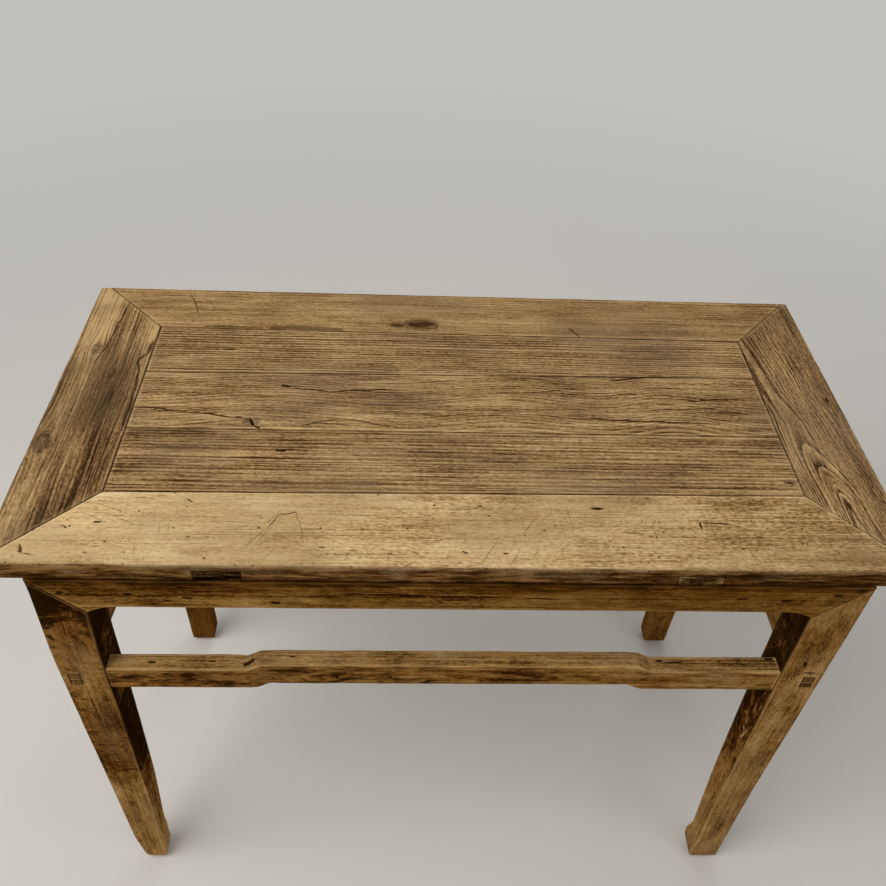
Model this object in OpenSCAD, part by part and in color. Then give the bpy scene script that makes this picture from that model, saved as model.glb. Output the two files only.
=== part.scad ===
// Chinese console table with a waist, mitred top frame, hump-backed stretchers and horse-hoof feet.
// Origin on the floor at the middle of the table, X along the length, the front towards -Y.

/* [Top] */
// Length of the top
top_l = 1000; // [860:5:1300]
// Depth of the top
top_d = 503; // [440:1:640]
// Height of the table
table_h = 797; // [700:1:900]
// Thickness of the top frame
top_t = 29; // [27:0.5:40]
// Radius of the four corners in plan
corner_r = 7; // [2:0.5:12]
// Radius of the worn upper arris
arris_r = 3; // [1:0.5:6]
// Width of the front rail at its left end
front_rail_left_w = 101; // [92:1:116]
// Width of the front rail at its right end
front_rail_right_w = 109; // [92:1:116]
// Width of the back rail at its left end
back_rail_left_w = 92; // [90:1:112]
// Width of the back rail at its right end
back_rail_right_w = 98; // [90:1:112]
// Width of the left end rail
left_rail_w = 103; // [92:1:114]
// Width of the right end rail
right_rail_w = 99; // [92:1:114]
// How far inside the back left corner the mitre starts
left_mitre_in = 13; // [0:1:16]
// How far inside the back right corner the mitre starts
right_mitre_in = 6; // [0:1:16]

/* [Panel] */
// Thickness of the panel boards
board_t = 13.5; // [12:0.5:15]
// Width of the front board at its left end
front_board_left_w = 105; // [80:1:120]
// Width of the front board at its right end
front_board_right_w = 100; // [80:1:120]
// Width of the middle board at its left end
middle_board_left_w = 107; // [80:1:125]
// Width of the middle board at its right end
middle_board_right_w = 114; // [80:1:125]
// Open seam between neighbouring boards and round the panel
seam_gap = 0.6; // [0.3:0.1:1.2]
// How far the panel's tongue runs into the frame
panel_tongue_l = 8; // [5:0.5:10]
// Thickness of the panel's tongue
panel_tongue_t = 5; // [4:0.5:6]
// Thickness and length of the tongue that joins two boards
board_tongue = 4; // [3:0.5:5]

/* [Battens] */
// Width of a batten under the panel
batten_w = 50; // [40:1:60]
// Distance from the end of the top to the middle of a batten
batten_in = 242; // [200:1:300]
// Depth of a batten below the panel
batten_h = 26; // [20:1:30]
// Width of the dovetail ridge at its neck
dovetail_neck_w = 30; // [22:1:34]
// Extra width of the dovetail ridge at its top, on each side
dovetail_flare = 2.5; // [1:0.5:4]
// Height of the dovetail ridge
dovetail_h = 4; // [3:0.5:5]

/* [Top joints] */
// Width of the long rails' through tenons
rail_tenon_w = 46; // [30:1:50]
// Thickness of the long rails' through tenons
rail_tenon_t = 9; // [7:0.5:11]
// Distance from the outer edge of a long rail to its tenon
rail_tenon_in = 22; // [16:1:26]
// Height of that tenon above the underside of the frame
rail_tenon_z = 10; // [9:0.5:12]

/* [Waist and apron] */
// Height of the waist between the apron and the top
waist_h = 30; // [20:1:45]
// Thickness of the waist strips
waist_t = 10; // [8:0.5:12]
// How far the waist is let into the underside of the top frame
waist_let = 3; // [2:0.5:4]
// Height of the apron in the middle
apron_h = 48; // [38:1:60]
// Thickness of the apron, which is also the depth of the leg's shoulder
apron_t = 20; // [18:1:24]
// How far the apron drops lower beside each leg
apron_drop = 10; // [4:1:16]
// Length of the curved drop beside each leg
apron_drop_l = 32; // [20:1:50]

/* [Legs] */
// Side of the square leg at its shoulder
leg_top = 58; // [52:1:66]
// Width of the leg above the foot, seen from the front
leg_foot_w = 42; // [36:1:48]
// Depth of the leg above the foot, seen from the side
leg_foot_d = 33; // [30:1:44]
// Distance from the end of the top to the leg
leg_inset_x = 24; // [16:1:32]
// Distance from the front of the top to the leg
leg_inset_y = 22; // [16:1:32]
// How late the taper of the leg comes: 1 is straight
taper_power = 1.4; // [1:0.1:2]
// How far the horse-hoof foot of the right front leg kicks inwards
hoof_kick = 5; // [2:0.5:8]
// How far the other feet still kick inwards, where wear has taken the hoof
worn_kick = 1; // [0:0.5:3]
// Height of the horse-hoof foot
hoof_h = 66; // [50:1:90]
// Height of the widest point of the foot
hoof_peak = 28; // [20:1:36]
// Radius of the worn edge round the sole
sole_r = 12; // [4:0.5:14]
// Radius of the outer arris of the leg
leg_arris_r = 3; // [1:0.5:5]

/* [Leg joints] */
// Thickness of the leg's tenons in the top frame
leg_tenon_t = 10; // [8:0.5:11]
// Height of the tenon in the long rail
long_tenon_h = 16; // [12:1:18]
// Height of the tenon in the end rail
short_tenon_h = 6; // [4:0.5:7]
// Thickness of the tongue on the end of the apron
apron_tongue_t = 6; // [4:0.5:7]
// Width of the hanging key at its neck
key_w = 9; // [6:1:12]
// Extra width of the hanging key at its face, on each side
key_flare = 1.5; // [0.5:0.5:2.5]

/* [Stretchers] */
// Height of the underside of the stretchers at the legs
stretcher_z = 520.5; // [420:0.5:560]
// Height of a stretcher's section
stretcher_h = 40; // [34:1:48]
// Thickness of the front and back stretchers
stretcher_t = 25; // [20:1:30]
// Setback of the front stretcher's face from the leg's face
stretcher_set = 1; // [0:0.5:6]
// Rise of the hump in the front and back stretchers
hump_rise = 10.5; // [6:1:30]
// Distance from the leg's outer face to the middle of the hump's slope
hump_in = 236; // [180:1:280]
// Length of each slope of the hump
hump_run = 24; // [16:1:60]
// How much further out the slope lies on top than underneath
hump_skew = 9; // [0:1:16]
// Thickness of the stretchers at the two ends
side_stretcher_t = 26; // [22:1:28]
// Setback of the end stretcher's face from the leg's face
side_stretcher_set = 4; // [2:0.5:5]
// Thickness of the blind tenons of the front and back stretchers
blind_tenon_t = 9; // [7:0.5:11]
// Height of the blind tenons
blind_tenon_h = 26; // [20:1:30]
// Thickness of the through tenons of the end stretchers
through_tenon_t = 14; // [10:0.5:16]
// Height of the through tenons
through_tenon_h = 22; // [16:1:28]
// Thickness of a wedge at its outer end
wedge_t = 2.4; // [1.6:0.2:4]
// Length of a wedge
wedge_l = 18; // [12:1:24]

/* [Fits] */
// Clearance on each side of a tenon, tongue or key
fit = 0.2; // [0.1:0.05:0.4]
// Clearance at the end of a blind tenon
end_gap = 0.6; // [0.3:0.1:1.5]

/* [Hidden] */
$fn = 48;

// Sides of the table, used as signs
LEFT = -1;
RIGHT = 1;
FRONT = -1;
BACK = 1;

// A cutter runs this far past what it cuts
past = 1;
// Segments along the taper of a leg, round its foot, along a hump's slope and round the apron's drop
taper_steps = 8;
hoof_steps = 9;
hump_steps = 8;
drop_steps = 6;
// Angle between the points round a worn sole
sole_step = 15;

// Heights
frame_z = table_h - top_t;
board_z = table_h - board_t;
apron_top = frame_z - waist_h;
apron_low = apron_top - apron_h;
mitre_low = apron_low - apron_drop;
shoulder_h = apron_top - mitre_low;

// Outer faces of the legs and apron, measured from the middle of the table
leg_x = top_l / 2 - leg_inset_x;
leg_y = top_d / 2 - leg_inset_y;
// The waist stands flush with the back of the apron
waist_set = apron_t - waist_t;

// Places of the battens and of the hump's slopes, measured from the middle of the table
batten_x = top_l / 2 - batten_in;
hump_half = leg_x - hump_in;

// Inner edges of the top frame, where the panel lies
open_left = -top_l / 2 + left_rail_w;
open_right = top_l / 2 - right_rail_w;
open_front = [-top_d / 2 + front_rail_left_w, -top_d / 2 + front_rail_right_w];
open_back = [top_d / 2 - back_rail_left_w, top_d / 2 - back_rail_right_w];
// Seams between the boards, each with its place at the left end and at the right end
seam_front = open_front + [front_board_left_w, front_board_right_w];
seam_back = seam_front + [middle_board_left_w, middle_board_right_w];

// Slope of the mitre between leg and apron: fall for each unit along the apron
mitre_slope = shoulder_h / leg_top;
// Share of its kick that the foot loses again below its widest point
hoof_tuck = 0.6;
// Shares of the apron's thickness in front of its tongue, and of the shoulder's height
// below that tongue and above the hanging key
tongue_depth_share = 0.4;
tongue_low_share = 0.1;
key_top_share = 0.14;
// The apron's tongue lies in front of the hanging key, and ends beyond the other apron
tongue_v = apron_t * tongue_depth_share;
tongue_u = apron_t + past;
tongue_low = mitre_low + shoulder_h * tongue_low_share;
key_v = tongue_v + apron_tongue_t + past;
key_u = (apron_t + leg_top) / 2;
key_top = apron_top - shoulder_h * key_top_share;

// Place of the end stretchers' through tenons, from the outer side of the leg
through_tenon_u = side_stretcher_set + (side_stretcher_t - through_tenon_t) / 2;
// Wood left between the through tenon and the blind tenon that meets it
tenon_wall = 6;
// Both tenons lie on the middle of the stretcher's height
tenon_mid = stretcher_z + stretcher_h / 2;
// The wedge's thin end
wedge_tip_t = wedge_t / 3;
// Wood left between the leg's tenons and the mitre of the top frame
mitre_wall = 4;

// Colours of the old elm
pale_elm = [0.70, 0.60, 0.46];
tan_elm = [0.62, 0.50, 0.36];
grey_elm = [0.56, 0.48, 0.37];
brown_elm = [0.50, 0.39, 0.27];
amber_elm = [0.55, 0.39, 0.22];
dark_elm = [0.38, 0.28, 0.18];
raw_elm = [0.45, 0.38, 0.29];

// Value at x of a line that runs from ends[0] at the left edge of the panel to ends[1] at the right
function along_panel(ends, x) = ends[0] + (ends[1] - ends[0]) * (x - open_left) / (open_right - open_left);
function clamp01(t) = max(0, min(1, t));
function smooth(t) = clamp01(t) * clamp01(t) * (3 - 2 * clamp01(t));

// Widths of the end rail and of the long rail at a corner of the top
function end_rail_w(sx) = sx < 0 ? left_rail_w : right_rail_w;
function front_rail_w(sx) = sx < 0 ? front_rail_left_w : front_rail_right_w;
function back_rail_w(sx) = sx < 0 ? back_rail_left_w : back_rail_right_w;
function long_rail_w(sx, sy) = sy < 0 ? front_rail_w(sx) : back_rail_w(sx);
// Distance from a corner at which its mitre starts, along the long edge: none at the front
function mitre_in(sx, sy) = sy < 0 ? 0 : (sx < 0 ? left_mitre_in : right_mitre_in);
// Slope of the top frame's mitre at a corner: run along X for each unit along Y
function mitre_run(sx, sy) = (end_rail_w(sx) - mitre_in(sx, sy)) / long_rail_w(sx, sy);
// Place of that mitre in the corner's own directions
function mitre_u(sx, sy, v) = mitre_in(sx, sy) + (v + leg_inset_y) * mitre_run(sx, sy) - leg_inset_x;
function mitre_v(sx, sy, u) = (u + leg_inset_x - mitre_in(sx, sy)) / mitre_run(sx, sy) - leg_inset_y;

// Inner face of a leg at height z, measured from its outer face, with the foot's kick
function taper_at(z) = pow(clamp01((mitre_low - z) / mitre_low), taper_power);
function kick_rise(z) = smooth((hoof_h - z) / (hoof_h - hoof_peak));
function kick_fall(z) = 1 - hoof_tuck * pow((hoof_peak - z) / hoof_peak, 2);
function kick_at(z, kick) = kick * (z > hoof_peak ? kick_rise(z) : kick_fall(z));
function leg_reach(z, foot, kick) = leg_top - (leg_top - foot) * taper_at(z) + kick_at(z, kick);
function taper_point(i, foot) =
    let (z = mitre_low + (hoof_h - mitre_low) * i / taper_steps)
    [leg_reach(z, foot, 0), z];
function hoof_point(i, foot, kick) =
    let (z = hoof_h + (sole_r - hoof_h) * i / hoof_steps)
    [leg_reach(z, foot, kick), z];
function sole_point(a, foot, kick) =
    [leg_reach(sole_r, foot, kick) - sole_r * (1 - cos(a)), sole_r * (1 - sin(a))];
function kick_of(sx, sy) = sx > 0 && sy < 0 ? hoof_kick : worn_kick;

// Rise of a hump-backed stretcher above its ends, at x
function hump_at(x, half) = hump_rise * smooth((half + hump_run / 2 - abs(x)) / hump_run);
function slope_x(side, i, half) = side * (half + hump_run * (0.5 - i / hump_steps));
function left_slope(half) = [for (i = [0:hump_steps]) slope_x(LEFT, i, half)];
function right_slope(half) = [for (i = [hump_steps:-1:0]) slope_x(RIGHT, i, half)];
function hump_xs(half) = concat([-leg_x], left_slope(half), right_slope(half), [leg_x]);
function hump_edge(half, z) = [for (x = hump_xs(half)) [x, z + hump_at(x, half)]];

// Puts a corner's own directions in place: u runs inwards along X, v inwards along Y
module at_corner(sx, sy) {
    mirror([sx > 0 ? 1 : 0, 0, 0])
        mirror([0, sy > 0 ? 1 : 0, 0])
            translate([-leg_x, -leg_y, 0])
                children();
}

// Draws an outline of (u, z) as a solid that runs along v, and an outline of (v, z) along u
module along_v(from, to) {
    translate([0, to, 0])
        rotate([90, 0, 0])
            linear_extrude(to - from)
                children();
}

module along_u(from, to) {
    translate([from, 0, 0])
        rotate([90, 0, 90])
            linear_extrude(to - from)
                children();
}

// Swaps u and v, for what a leg has on both of its outer faces
module swap_uv() {
    mirror([1, -1, 0])
        children();
}

module rounded_rect(l, d, r) {
    square([l - 2 * r, d], center = true);
    square([l, d - 2 * r], center = true);
    for (sx = [-1, 1], sy = [-1, 1])
        translate([sx * (l / 2 - r), sy * (d / 2 - r)])
            circle(r);
}

// Section of the top from edge to edge, with its upper corners worn round
module top_section(span) {
    translate([-span / 2, frame_z])
        square([span, top_t - arris_r]);
    translate([-span / 2 + arris_r, frame_z])
        square([span - 2 * arris_r, top_t]);
    for (s = [-1, 1])
        translate([s * (span / 2 - arris_r), table_h - arris_r])
            circle(arris_r);
}

// The whole top as one block, before it is parted into rails
module top_block() {
    intersection() {
        translate([0, 0, frame_z])
            linear_extrude(top_t)
                rounded_rect(top_l, top_d, corner_r);
        along_v(-top_d / 2, top_d / 2)
            top_section(top_l);
        along_u(-top_l / 2, top_l / 2)
            top_section(top_d);
    }
}

module long_rail_block(sy) {
    inner = sy < 0 ? open_front : open_back;
    intersection() {
        top_block();
        translate([0, 0, frame_z])
            linear_extrude(top_t)
                polygon([
                    [mitre_in(LEFT, sy) - top_l / 2, sy * top_d / 2],
                    [top_l / 2 - mitre_in(RIGHT, sy), sy * top_d / 2],
                    [open_right, inner[1]], [open_left, inner[0]]
                ]);
    }
}

module end_rail_block(sx) {
    inner_x = sx < 0 ? open_left : open_right;
    end = sx < 0 ? 0 : 1;
    intersection() {
        top_block();
        translate([0, 0, frame_z])
            linear_extrude(top_t)
                polygon([
                    [sx * top_l / 2, -top_d / 2], [inner_x, open_front[end]],
                    [inner_x, open_back[end]],
                    [sx * (top_l / 2 - mitre_in(sx, BACK)), top_d / 2], [sx * top_l / 2, top_d / 2]
                ]);
    }
}

// Through tenon of a long rail at one end, from its mitre to the end of the table
module rail_tenon(sx, sy, gap) {
    w = rail_tenon_w + 2 * gap;
    t = rail_tenon_t + 2 * gap;
    root = mitre_u(sx, sy, rail_tenon_in + rail_tenon_w - leg_inset_y) + leg_inset_x + past;
    x0 = sx < 0 ? -top_l / 2 : top_l / 2 - root;
    y0 = sy < 0 ? -top_d / 2 + rail_tenon_in : top_d / 2 - rail_tenon_in - rail_tenon_w;
    translate([x0 - gap, y0 - gap, frame_z + rail_tenon_z - gap])
        cube([root + 2 * gap, w, t]);
}

// Groove round the panel's opening, as the space that the panel's tongue takes
module panel_groove() {
    reach = panel_tongue_l + end_gap;
    translate([0, 0, board_z - fit])
        linear_extrude(panel_tongue_t + 2 * fit)
            polygon([
                [open_left - reach, open_front[0] - reach], [open_right + reach, open_front[1] - reach],
                [open_right + reach, open_back[1] + reach], [open_left - reach, open_back[0] + reach]
            ]);
}

// The ring of the waist from z0 up by h, wider by gap on each side
module waist_ring(z0, h, gap) {
    outer_x = leg_x - waist_set;
    outer_y = leg_y - waist_set;
    inner_x = leg_x - apron_t;
    inner_y = leg_y - apron_t;
    translate([0, 0, z0])
        linear_extrude(h)
            difference() {
                square([2 * (outer_x + gap), 2 * (outer_y + gap)], center = true);
                square([2 * (inner_x - gap), 2 * (inner_y - gap)], center = true);
            }
}

// The two tenons on a leg: a long one for the long rail and a short one for the end rail
module leg_tenons(sx, sy, gap, cap) {
    long_u = mitre_u(sx, sy, apron_t + leg_tenon_t) + mitre_wall;
    short_v = mitre_v(sx, sy, apron_t + leg_tenon_t) + mitre_wall;
    translate([long_u - gap, apron_t - gap, frame_z - past])
        cube([leg_top - long_u + 2 * gap, leg_tenon_t + 2 * gap, long_tenon_h + past + cap]);
    translate([apron_t - gap, short_v - gap, frame_z - past])
        cube([leg_tenon_t + 2 * gap, leg_top - short_v + 2 * gap, short_tenon_h + past + cap]);
}

// All four legs' tenons, as the space they take in the top frame
module leg_tenon_mortises() {
    for (sx = [LEFT, RIGHT], sy = [FRONT, BACK])
        at_corner(sx, sy)
            leg_tenons(sx, sy, fit, end_gap);
}

// The part of a batten that runs from front to back through the long rails
module batten_bar(sx, gap) {
    w = batten_w + 2 * gap;
    translate([sx * batten_x - w / 2, -top_d / 2 - gap, frame_z - gap])
        cube([w, top_d + 2 * gap, board_z - frame_z + 2 * gap]);
}

// Section of a dovetail: it starts a little below its neck, so that it joins what carries it
module dovetail_section(neck, head, h) {
    polygon([[-neck, -past], [neck, -past], [neck, 0], [head, h], [-head, h], [-neck, 0]]);
}

// Front and back ends of a batten's body, where the panel's opening is narrowest across its width
function batten_ends_x(sx) = [sx * batten_x - batten_w / 2, sx * batten_x + batten_w / 2];
function batten_front(sx) = max([for (x = batten_ends_x(sx)) along_panel(open_front, x)]);
function batten_back(sx) = min([for (x = batten_ends_x(sx)) along_panel(open_back, x)]);

// Dovetail ridge of a batten, as long as the panel's opening there
module batten_ridge(sx) {
    neck = dovetail_neck_w / 2;
    head = neck + dovetail_flare;
    translate([sx * batten_x, 0, board_z])
        along_v(batten_front(sx) + seam_gap, batten_back(sx) - seam_gap)
            dovetail_section(neck, head, dovetail_h);
}

// Housing for a ridge, which runs out at both edges of the panel
module batten_housing(sx) {
    neck = dovetail_neck_w / 2 + fit;
    head = neck + dovetail_flare;
    translate([sx * batten_x, 0, board_z])
        along_v(-top_d / 2, top_d / 2)
            dovetail_section(neck, head, dovetail_h + fit);
}

module top_rail_long(sy) {
    difference() {
        union() {
            long_rail_block(sy);
            for (sx = [LEFT, RIGHT])
                rail_tenon(sx, sy, 0);
        }
        panel_groove();
        leg_tenon_mortises();
        waist_ring(frame_z - past, waist_let + past + fit, fit);
        for (sx = [LEFT, RIGHT])
            batten_bar(sx, fit);
    }
}

module top_rail_end(sx) {
    difference() {
        end_rail_block(sx);
        for (sy = [FRONT, BACK])
            rail_tenon(sx, sy, fit);
        panel_groove();
        leg_tenon_mortises();
        waist_ring(frame_z - past, waist_let + past + fit, fit);
    }
}

// A board between two lines along X: y0 and y1 hold their places at the left and right ends.
// z and h give a layer of it, grow_ends runs it into the end rails, grow0 and grow1 past its edges.
module board_layer(y0, y1, z, h, grow_ends, grow0, grow1) {
    x0 = open_left - grow_ends;
    x1 = open_right + grow_ends;
    translate([0, 0, z])
        linear_extrude(h)
            polygon([
                [x0, along_panel(y0, x0) - grow0], [x1, along_panel(y0, x1) - grow0],
                [x1, along_panel(y1, x1) + grow1], [x0, along_panel(y1, x0) + grow1]
            ]);
}

// A board of the panel. Its outer edges have the frame's tongue, its seams a tongue or a groove.
module panel_board(y0, y1, first, last) {
    tongue_z = board_z + (board_t - board_tongue) / 2;
    low_in = -board_tongue - past;
    low0 = first ? panel_tongue_l : low_in;
    low1 = last ? panel_tongue_l : low_in;
    top0 = first ? -seam_gap : -seam_gap / 2;
    top1 = last ? -seam_gap : -seam_gap / 2;
    difference() {
        union() {
            board_layer(y0, y1, board_z, board_t, -seam_gap, top0, top1);
            board_layer(y0, y1, board_z, panel_tongue_t, panel_tongue_l, low0, low1);
            if (!last)
                board_layer(y1, y1, tongue_z, board_tongue, -seam_gap, seam_gap, board_tongue);
        }
        if (!first)
            board_layer(y0, y0, tongue_z - fit, board_tongue + 2 * fit, past - seam_gap, past, board_tongue + fit);
        for (sx = [LEFT, RIGHT])
            batten_housing(sx);
    }
}

module batten(sx) {
    batten_bar(sx, 0);
    batten_ridge(sx);
    translate([sx * batten_x - batten_w / 2, batten_front(sx), board_z - batten_h])
        cube([batten_w, batten_back(sx) - batten_front(sx), batten_h]);
}

// Plan of an apron or a waist on one side of the table, mitred at both corners
module mitred_plan(half, face, t) {
    polygon([[-half, -face], [half, -face], [half - t, -face + t], [-half + t, -face + t]]);
}

module waist_strip(half, face) {
    difference() {
        translate([0, 0, apron_top])
            linear_extrude(waist_h + waist_let)
                mitred_plan(half - waist_set, face - waist_set, waist_t);
        for (sx = [LEFT, RIGHT])
            batten_bar(sx, fit);
    }
}

module waist_long(sy) {
    mirror([0, sy > 0 ? 1 : 0, 0])
        waist_strip(leg_x, leg_y);
}

module waist_end(sx) {
    rotate([0, 0, sx < 0 ? -90 : 90])
        translate([0, 0, apron_top])
            linear_extrude(waist_h + waist_let)
                mitred_plan(leg_y - waist_set, leg_x - waist_set, waist_t);
}

// Lower edge of the apron from the leg at x = -half + leg_top to the middle
function drop_point(i, half) =
    let (t = i / drop_steps)
    [-half + leg_top + apron_drop_l * t, mitre_low + apron_drop * sin(90 * t)];

// Front view of an apron, with its mitres and its curved drops at the legs
module apron_outline(half) {
    left_drop = [for (i = [0:drop_steps]) drop_point(i, half)];
    right_drop = [for (i = [drop_steps:-1:0]) [-drop_point(i, half)[0], drop_point(i, half)[1]]];
    polygon(concat([[half, apron_top], [-half, apron_top]], left_drop, right_drop));
}

// Height of the mitre at a distance u from the outer side of the leg
function mitre_z(u) = apron_top - mitre_slope * u;
// Distance from the outer side of the leg at which the mitre is at height z
function mitre_at(z) = (apron_top - z) / mitre_slope;

// Tongue on the end of an apron, below its mitre
module apron_tongue(gap) {
    u0 = tongue_u - gap;
    z0 = tongue_low - gap;
    u1 = mitre_at(tongue_low) + gap;
    along_v(tongue_v - gap, tongue_v + apron_tongue_t + gap)
        polygon([[u0, z0], [u1, z0], [u1, mitre_z(u1) + past], [u0, mitre_z(u0) + past]]);
}

// Hanging key on the leg's core, a dovetail that holds the apron from behind
module hanging_key(gap) {
    neck = key_w / 2 + gap;
    head = neck + key_flare;
    z0 = mitre_z(key_u + head + gap) - past;
    translate([key_u, 0, z0])
        linear_extrude(key_top + gap - z0)
            polygon([
                [-neck, apron_t + past], [-neck, apron_t], [-head, key_v - gap],
                [head, key_v - gap], [neck, apron_t], [neck, apron_t + past]
            ]);
}

// Outline that rounds the outer arrises of the legs and of the apron's corners
module body_outline() {
    linear_extrude(table_h)
        rounded_rect(2 * leg_x, 2 * leg_y, leg_arris_r);
}

// An apron drawn along the front: half is its half length, face its distance from the middle
module apron(half, face) {
    difference() {
        intersection() {
            along_v(-face, -face + apron_t)
                apron_outline(half);
            linear_extrude(table_h)
                mitred_plan(half, face, apron_t);
        }
        for (s = [0, 1])
            mirror([s, 0, 0])
                translate([-half, -face, 0])
                    hanging_key(fit);
    }
    for (s = [0, 1])
        mirror([s, 0, 0])
            translate([-half, -face, 0])
                apron_tongue(0);
}

module apron_long(sy) {
    intersection() {
        mirror([0, sy > 0 ? 1 : 0, 0])
            apron(leg_x, leg_y);
        body_outline();
    }
}

module apron_end(sx) {
    intersection() {
        rotate([0, 0, sx < 0 ? -90 : 90])
            apron(leg_y, leg_x);
        body_outline();
    }
}

// Side view of a leg: straight outer face, tapered inner face, horse-hoof foot and worn sole
module leg_profile(foot, kick) {
    taper = [for (i = [0:taper_steps - 1]) taper_point(i, foot)];
    hoof = [for (i = [0:hoof_steps]) hoof_point(i, foot, kick)];
    sole = [for (a = [sole_step:sole_step:90]) sole_point(a, foot, kick)];
    difference() {
        polygon(concat([[0, 0], [0, apron_top], [leg_top, apron_top]], taper, hoof, sole));
        difference() {
            translate([-past, -past])
                square(sole_r + past);
            translate([sole_r, sole_r])
                circle(sole_r);
        }
    }
}

module leg_column(kick) {
    intersection() {
        along_v(0, leg_top)
            leg_profile(leg_foot_w, kick);
        along_u(0, leg_top)
            leg_profile(leg_foot_d, kick);
    }
}

// What the apron's end takes from the front of a leg: all above the mitre, as deep as the apron
module shoulder_cut() {
    along_v(-past, apron_t)
        polygon([
            [-past, mitre_z(-past)], [leg_top + past, mitre_z(leg_top + past)],
            [leg_top + past, table_h], [-past, table_h]
        ]);
}

// The leg's core behind the waist and the apron
module leg_core() {
    side = leg_top - apron_t;
    translate([apron_t, apron_t, apron_low])
        cube([side, side, frame_z - apron_low]);
}

// The space that a front stretcher's blind tenon takes, and the tenon with gap 0
module blind_tenon(gap) {
    u0 = through_tenon_u + through_tenon_t + tenon_wall;
    v0 = stretcher_set + (stretcher_t - blind_tenon_t) / 2;
    translate([u0 - (gap > 0 ? end_gap : 0), v0 - gap, tenon_mid - blind_tenon_h / 2 - gap])
        cube([leg_top - u0 + 2 * past, blind_tenon_t + 2 * gap, blind_tenon_h + 2 * gap]);
}

module through_tenon(gap) {
    translate([through_tenon_u - gap, -gap, tenon_mid - through_tenon_h / 2 - gap])
        cube([through_tenon_t + 2 * gap, leg_top + past + gap, through_tenon_h + 2 * gap]);
}

// Wedge driven into the end of a through tenon
module tenon_wedge() {
    along_u(through_tenon_u, through_tenon_u + through_tenon_t)
        polygon([
            [0, tenon_mid - wedge_t / 2], [wedge_l, tenon_mid - wedge_tip_t / 2],
            [wedge_l, tenon_mid + wedge_tip_t / 2], [0, tenon_mid + wedge_t / 2]
        ]);
}

module leg(sx, sy) {
    intersection() {
        at_corner(sx, sy) {
            difference() {
                union() {
                    difference() {
                        leg_column(kick_of(sx, sy));
                        shoulder_cut();
                        swap_uv()
                            shoulder_cut();
                    }
                    leg_core();
                    hanging_key(0);
                    swap_uv()
                        hanging_key(0);
                    leg_tenons(sx, sy, 0, 0);
                }
                apron_tongue(fit);
                swap_uv()
                    apron_tongue(fit);
                blind_tenon(fit);
                through_tenon(fit);
            }
        }
        body_outline();
    }
}

// Front view of a hump-backed stretcher
module hump_outline() {
    under = hump_edge(hump_half - hump_skew / 2, stretcher_z);
    over = hump_edge(hump_half + hump_skew / 2, stretcher_z + stretcher_h);
    polygon(concat(under, [for (i = [len(over) - 1:-1:0]) over[i]]));
}

module stretcher_long(sy) {
    difference() {
        mirror([0, sy > 0 ? 1 : 0, 0])
            along_v(-leg_y + stretcher_set, -leg_y + stretcher_set + stretcher_t)
                hump_outline();
        for (sx = [LEFT, RIGHT])
            at_corner(sx, sy)
                along_v(-past, leg_top)
                    leg_profile(leg_foot_w, 0);
    }
    for (sx = [LEFT, RIGHT])
        at_corner(sx, sy)
            blind_tenon(0);
}

module stretcher_end(sx) {
    difference() {
        at_corner(sx, FRONT)
            translate([side_stretcher_set, 0, stretcher_z])
                cube([side_stretcher_t, 2 * leg_y, stretcher_h]);
        for (sy = [FRONT, BACK])
            at_corner(sx, sy)
                along_u(-past, leg_top)
                    leg_profile(leg_foot_d, 0);
    }
    for (sy = [FRONT, BACK])
        at_corner(sx, sy)
            difference() {
                through_tenon(0);
                tenon_wedge();
            }
}

module top_rail_front() { color(pale_elm) top_rail_long(FRONT); }
module top_rail_back() { color(tan_elm) top_rail_long(BACK); }
module top_rail_left() { color(grey_elm) top_rail_end(LEFT); }
module top_rail_right() { color(tan_elm) top_rail_end(RIGHT); }
module panel_board_front() { color(brown_elm) panel_board(open_front, seam_front, true, false); }
module panel_board_middle() { color(brown_elm) panel_board(seam_front, seam_back, false, false); }
module panel_board_back() { color(brown_elm) panel_board(seam_back, open_back, false, true); }
module batten_left() { color(raw_elm) batten(LEFT); }
module batten_right() { color(raw_elm) batten(RIGHT); }
module waist_front() { color(dark_elm) waist_long(FRONT); }
module waist_back() { color(dark_elm) waist_long(BACK); }
module waist_left() { color(dark_elm) waist_end(LEFT); }
module waist_right() { color(dark_elm) waist_end(RIGHT); }
module apron_front() { color(amber_elm) apron_long(FRONT); }
module apron_back() { color(amber_elm) apron_long(BACK); }
module apron_left() { color(amber_elm) apron_end(LEFT); }
module apron_right() { color(amber_elm) apron_end(RIGHT); }
module leg_front_left() { color(dark_elm) leg(LEFT, FRONT); }
module leg_front_right() { color(dark_elm) leg(RIGHT, FRONT); }
module leg_back_left() { color(dark_elm) leg(LEFT, BACK); }
module leg_back_right() { color(dark_elm) leg(RIGHT, BACK); }
module stretcher_front() { color(tan_elm) stretcher_long(FRONT); }
module stretcher_back() { color(tan_elm) stretcher_long(BACK); }
module stretcher_left() { color(brown_elm) stretcher_end(LEFT); }
module stretcher_right() { color(brown_elm) stretcher_end(RIGHT); }
module stretcher_wedges() {
    color(pale_elm)
        for (sx = [LEFT, RIGHT], sy = [FRONT, BACK])
            at_corner(sx, sy)
                tenon_wedge();
}

top_rail_front();
top_rail_back();
top_rail_left();
top_rail_right();
panel_board_front();
panel_board_middle();
panel_board_back();
batten_left();
batten_right();
waist_front();
waist_back();
waist_left();
waist_right();
apron_front();
apron_back();
apron_left();
apron_right();
leg_front_left();
leg_front_right();
leg_back_left();
leg_back_right();
stretcher_front();
stretcher_back();
stretcher_left();
stretcher_right();
stretcher_wedges();
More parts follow.
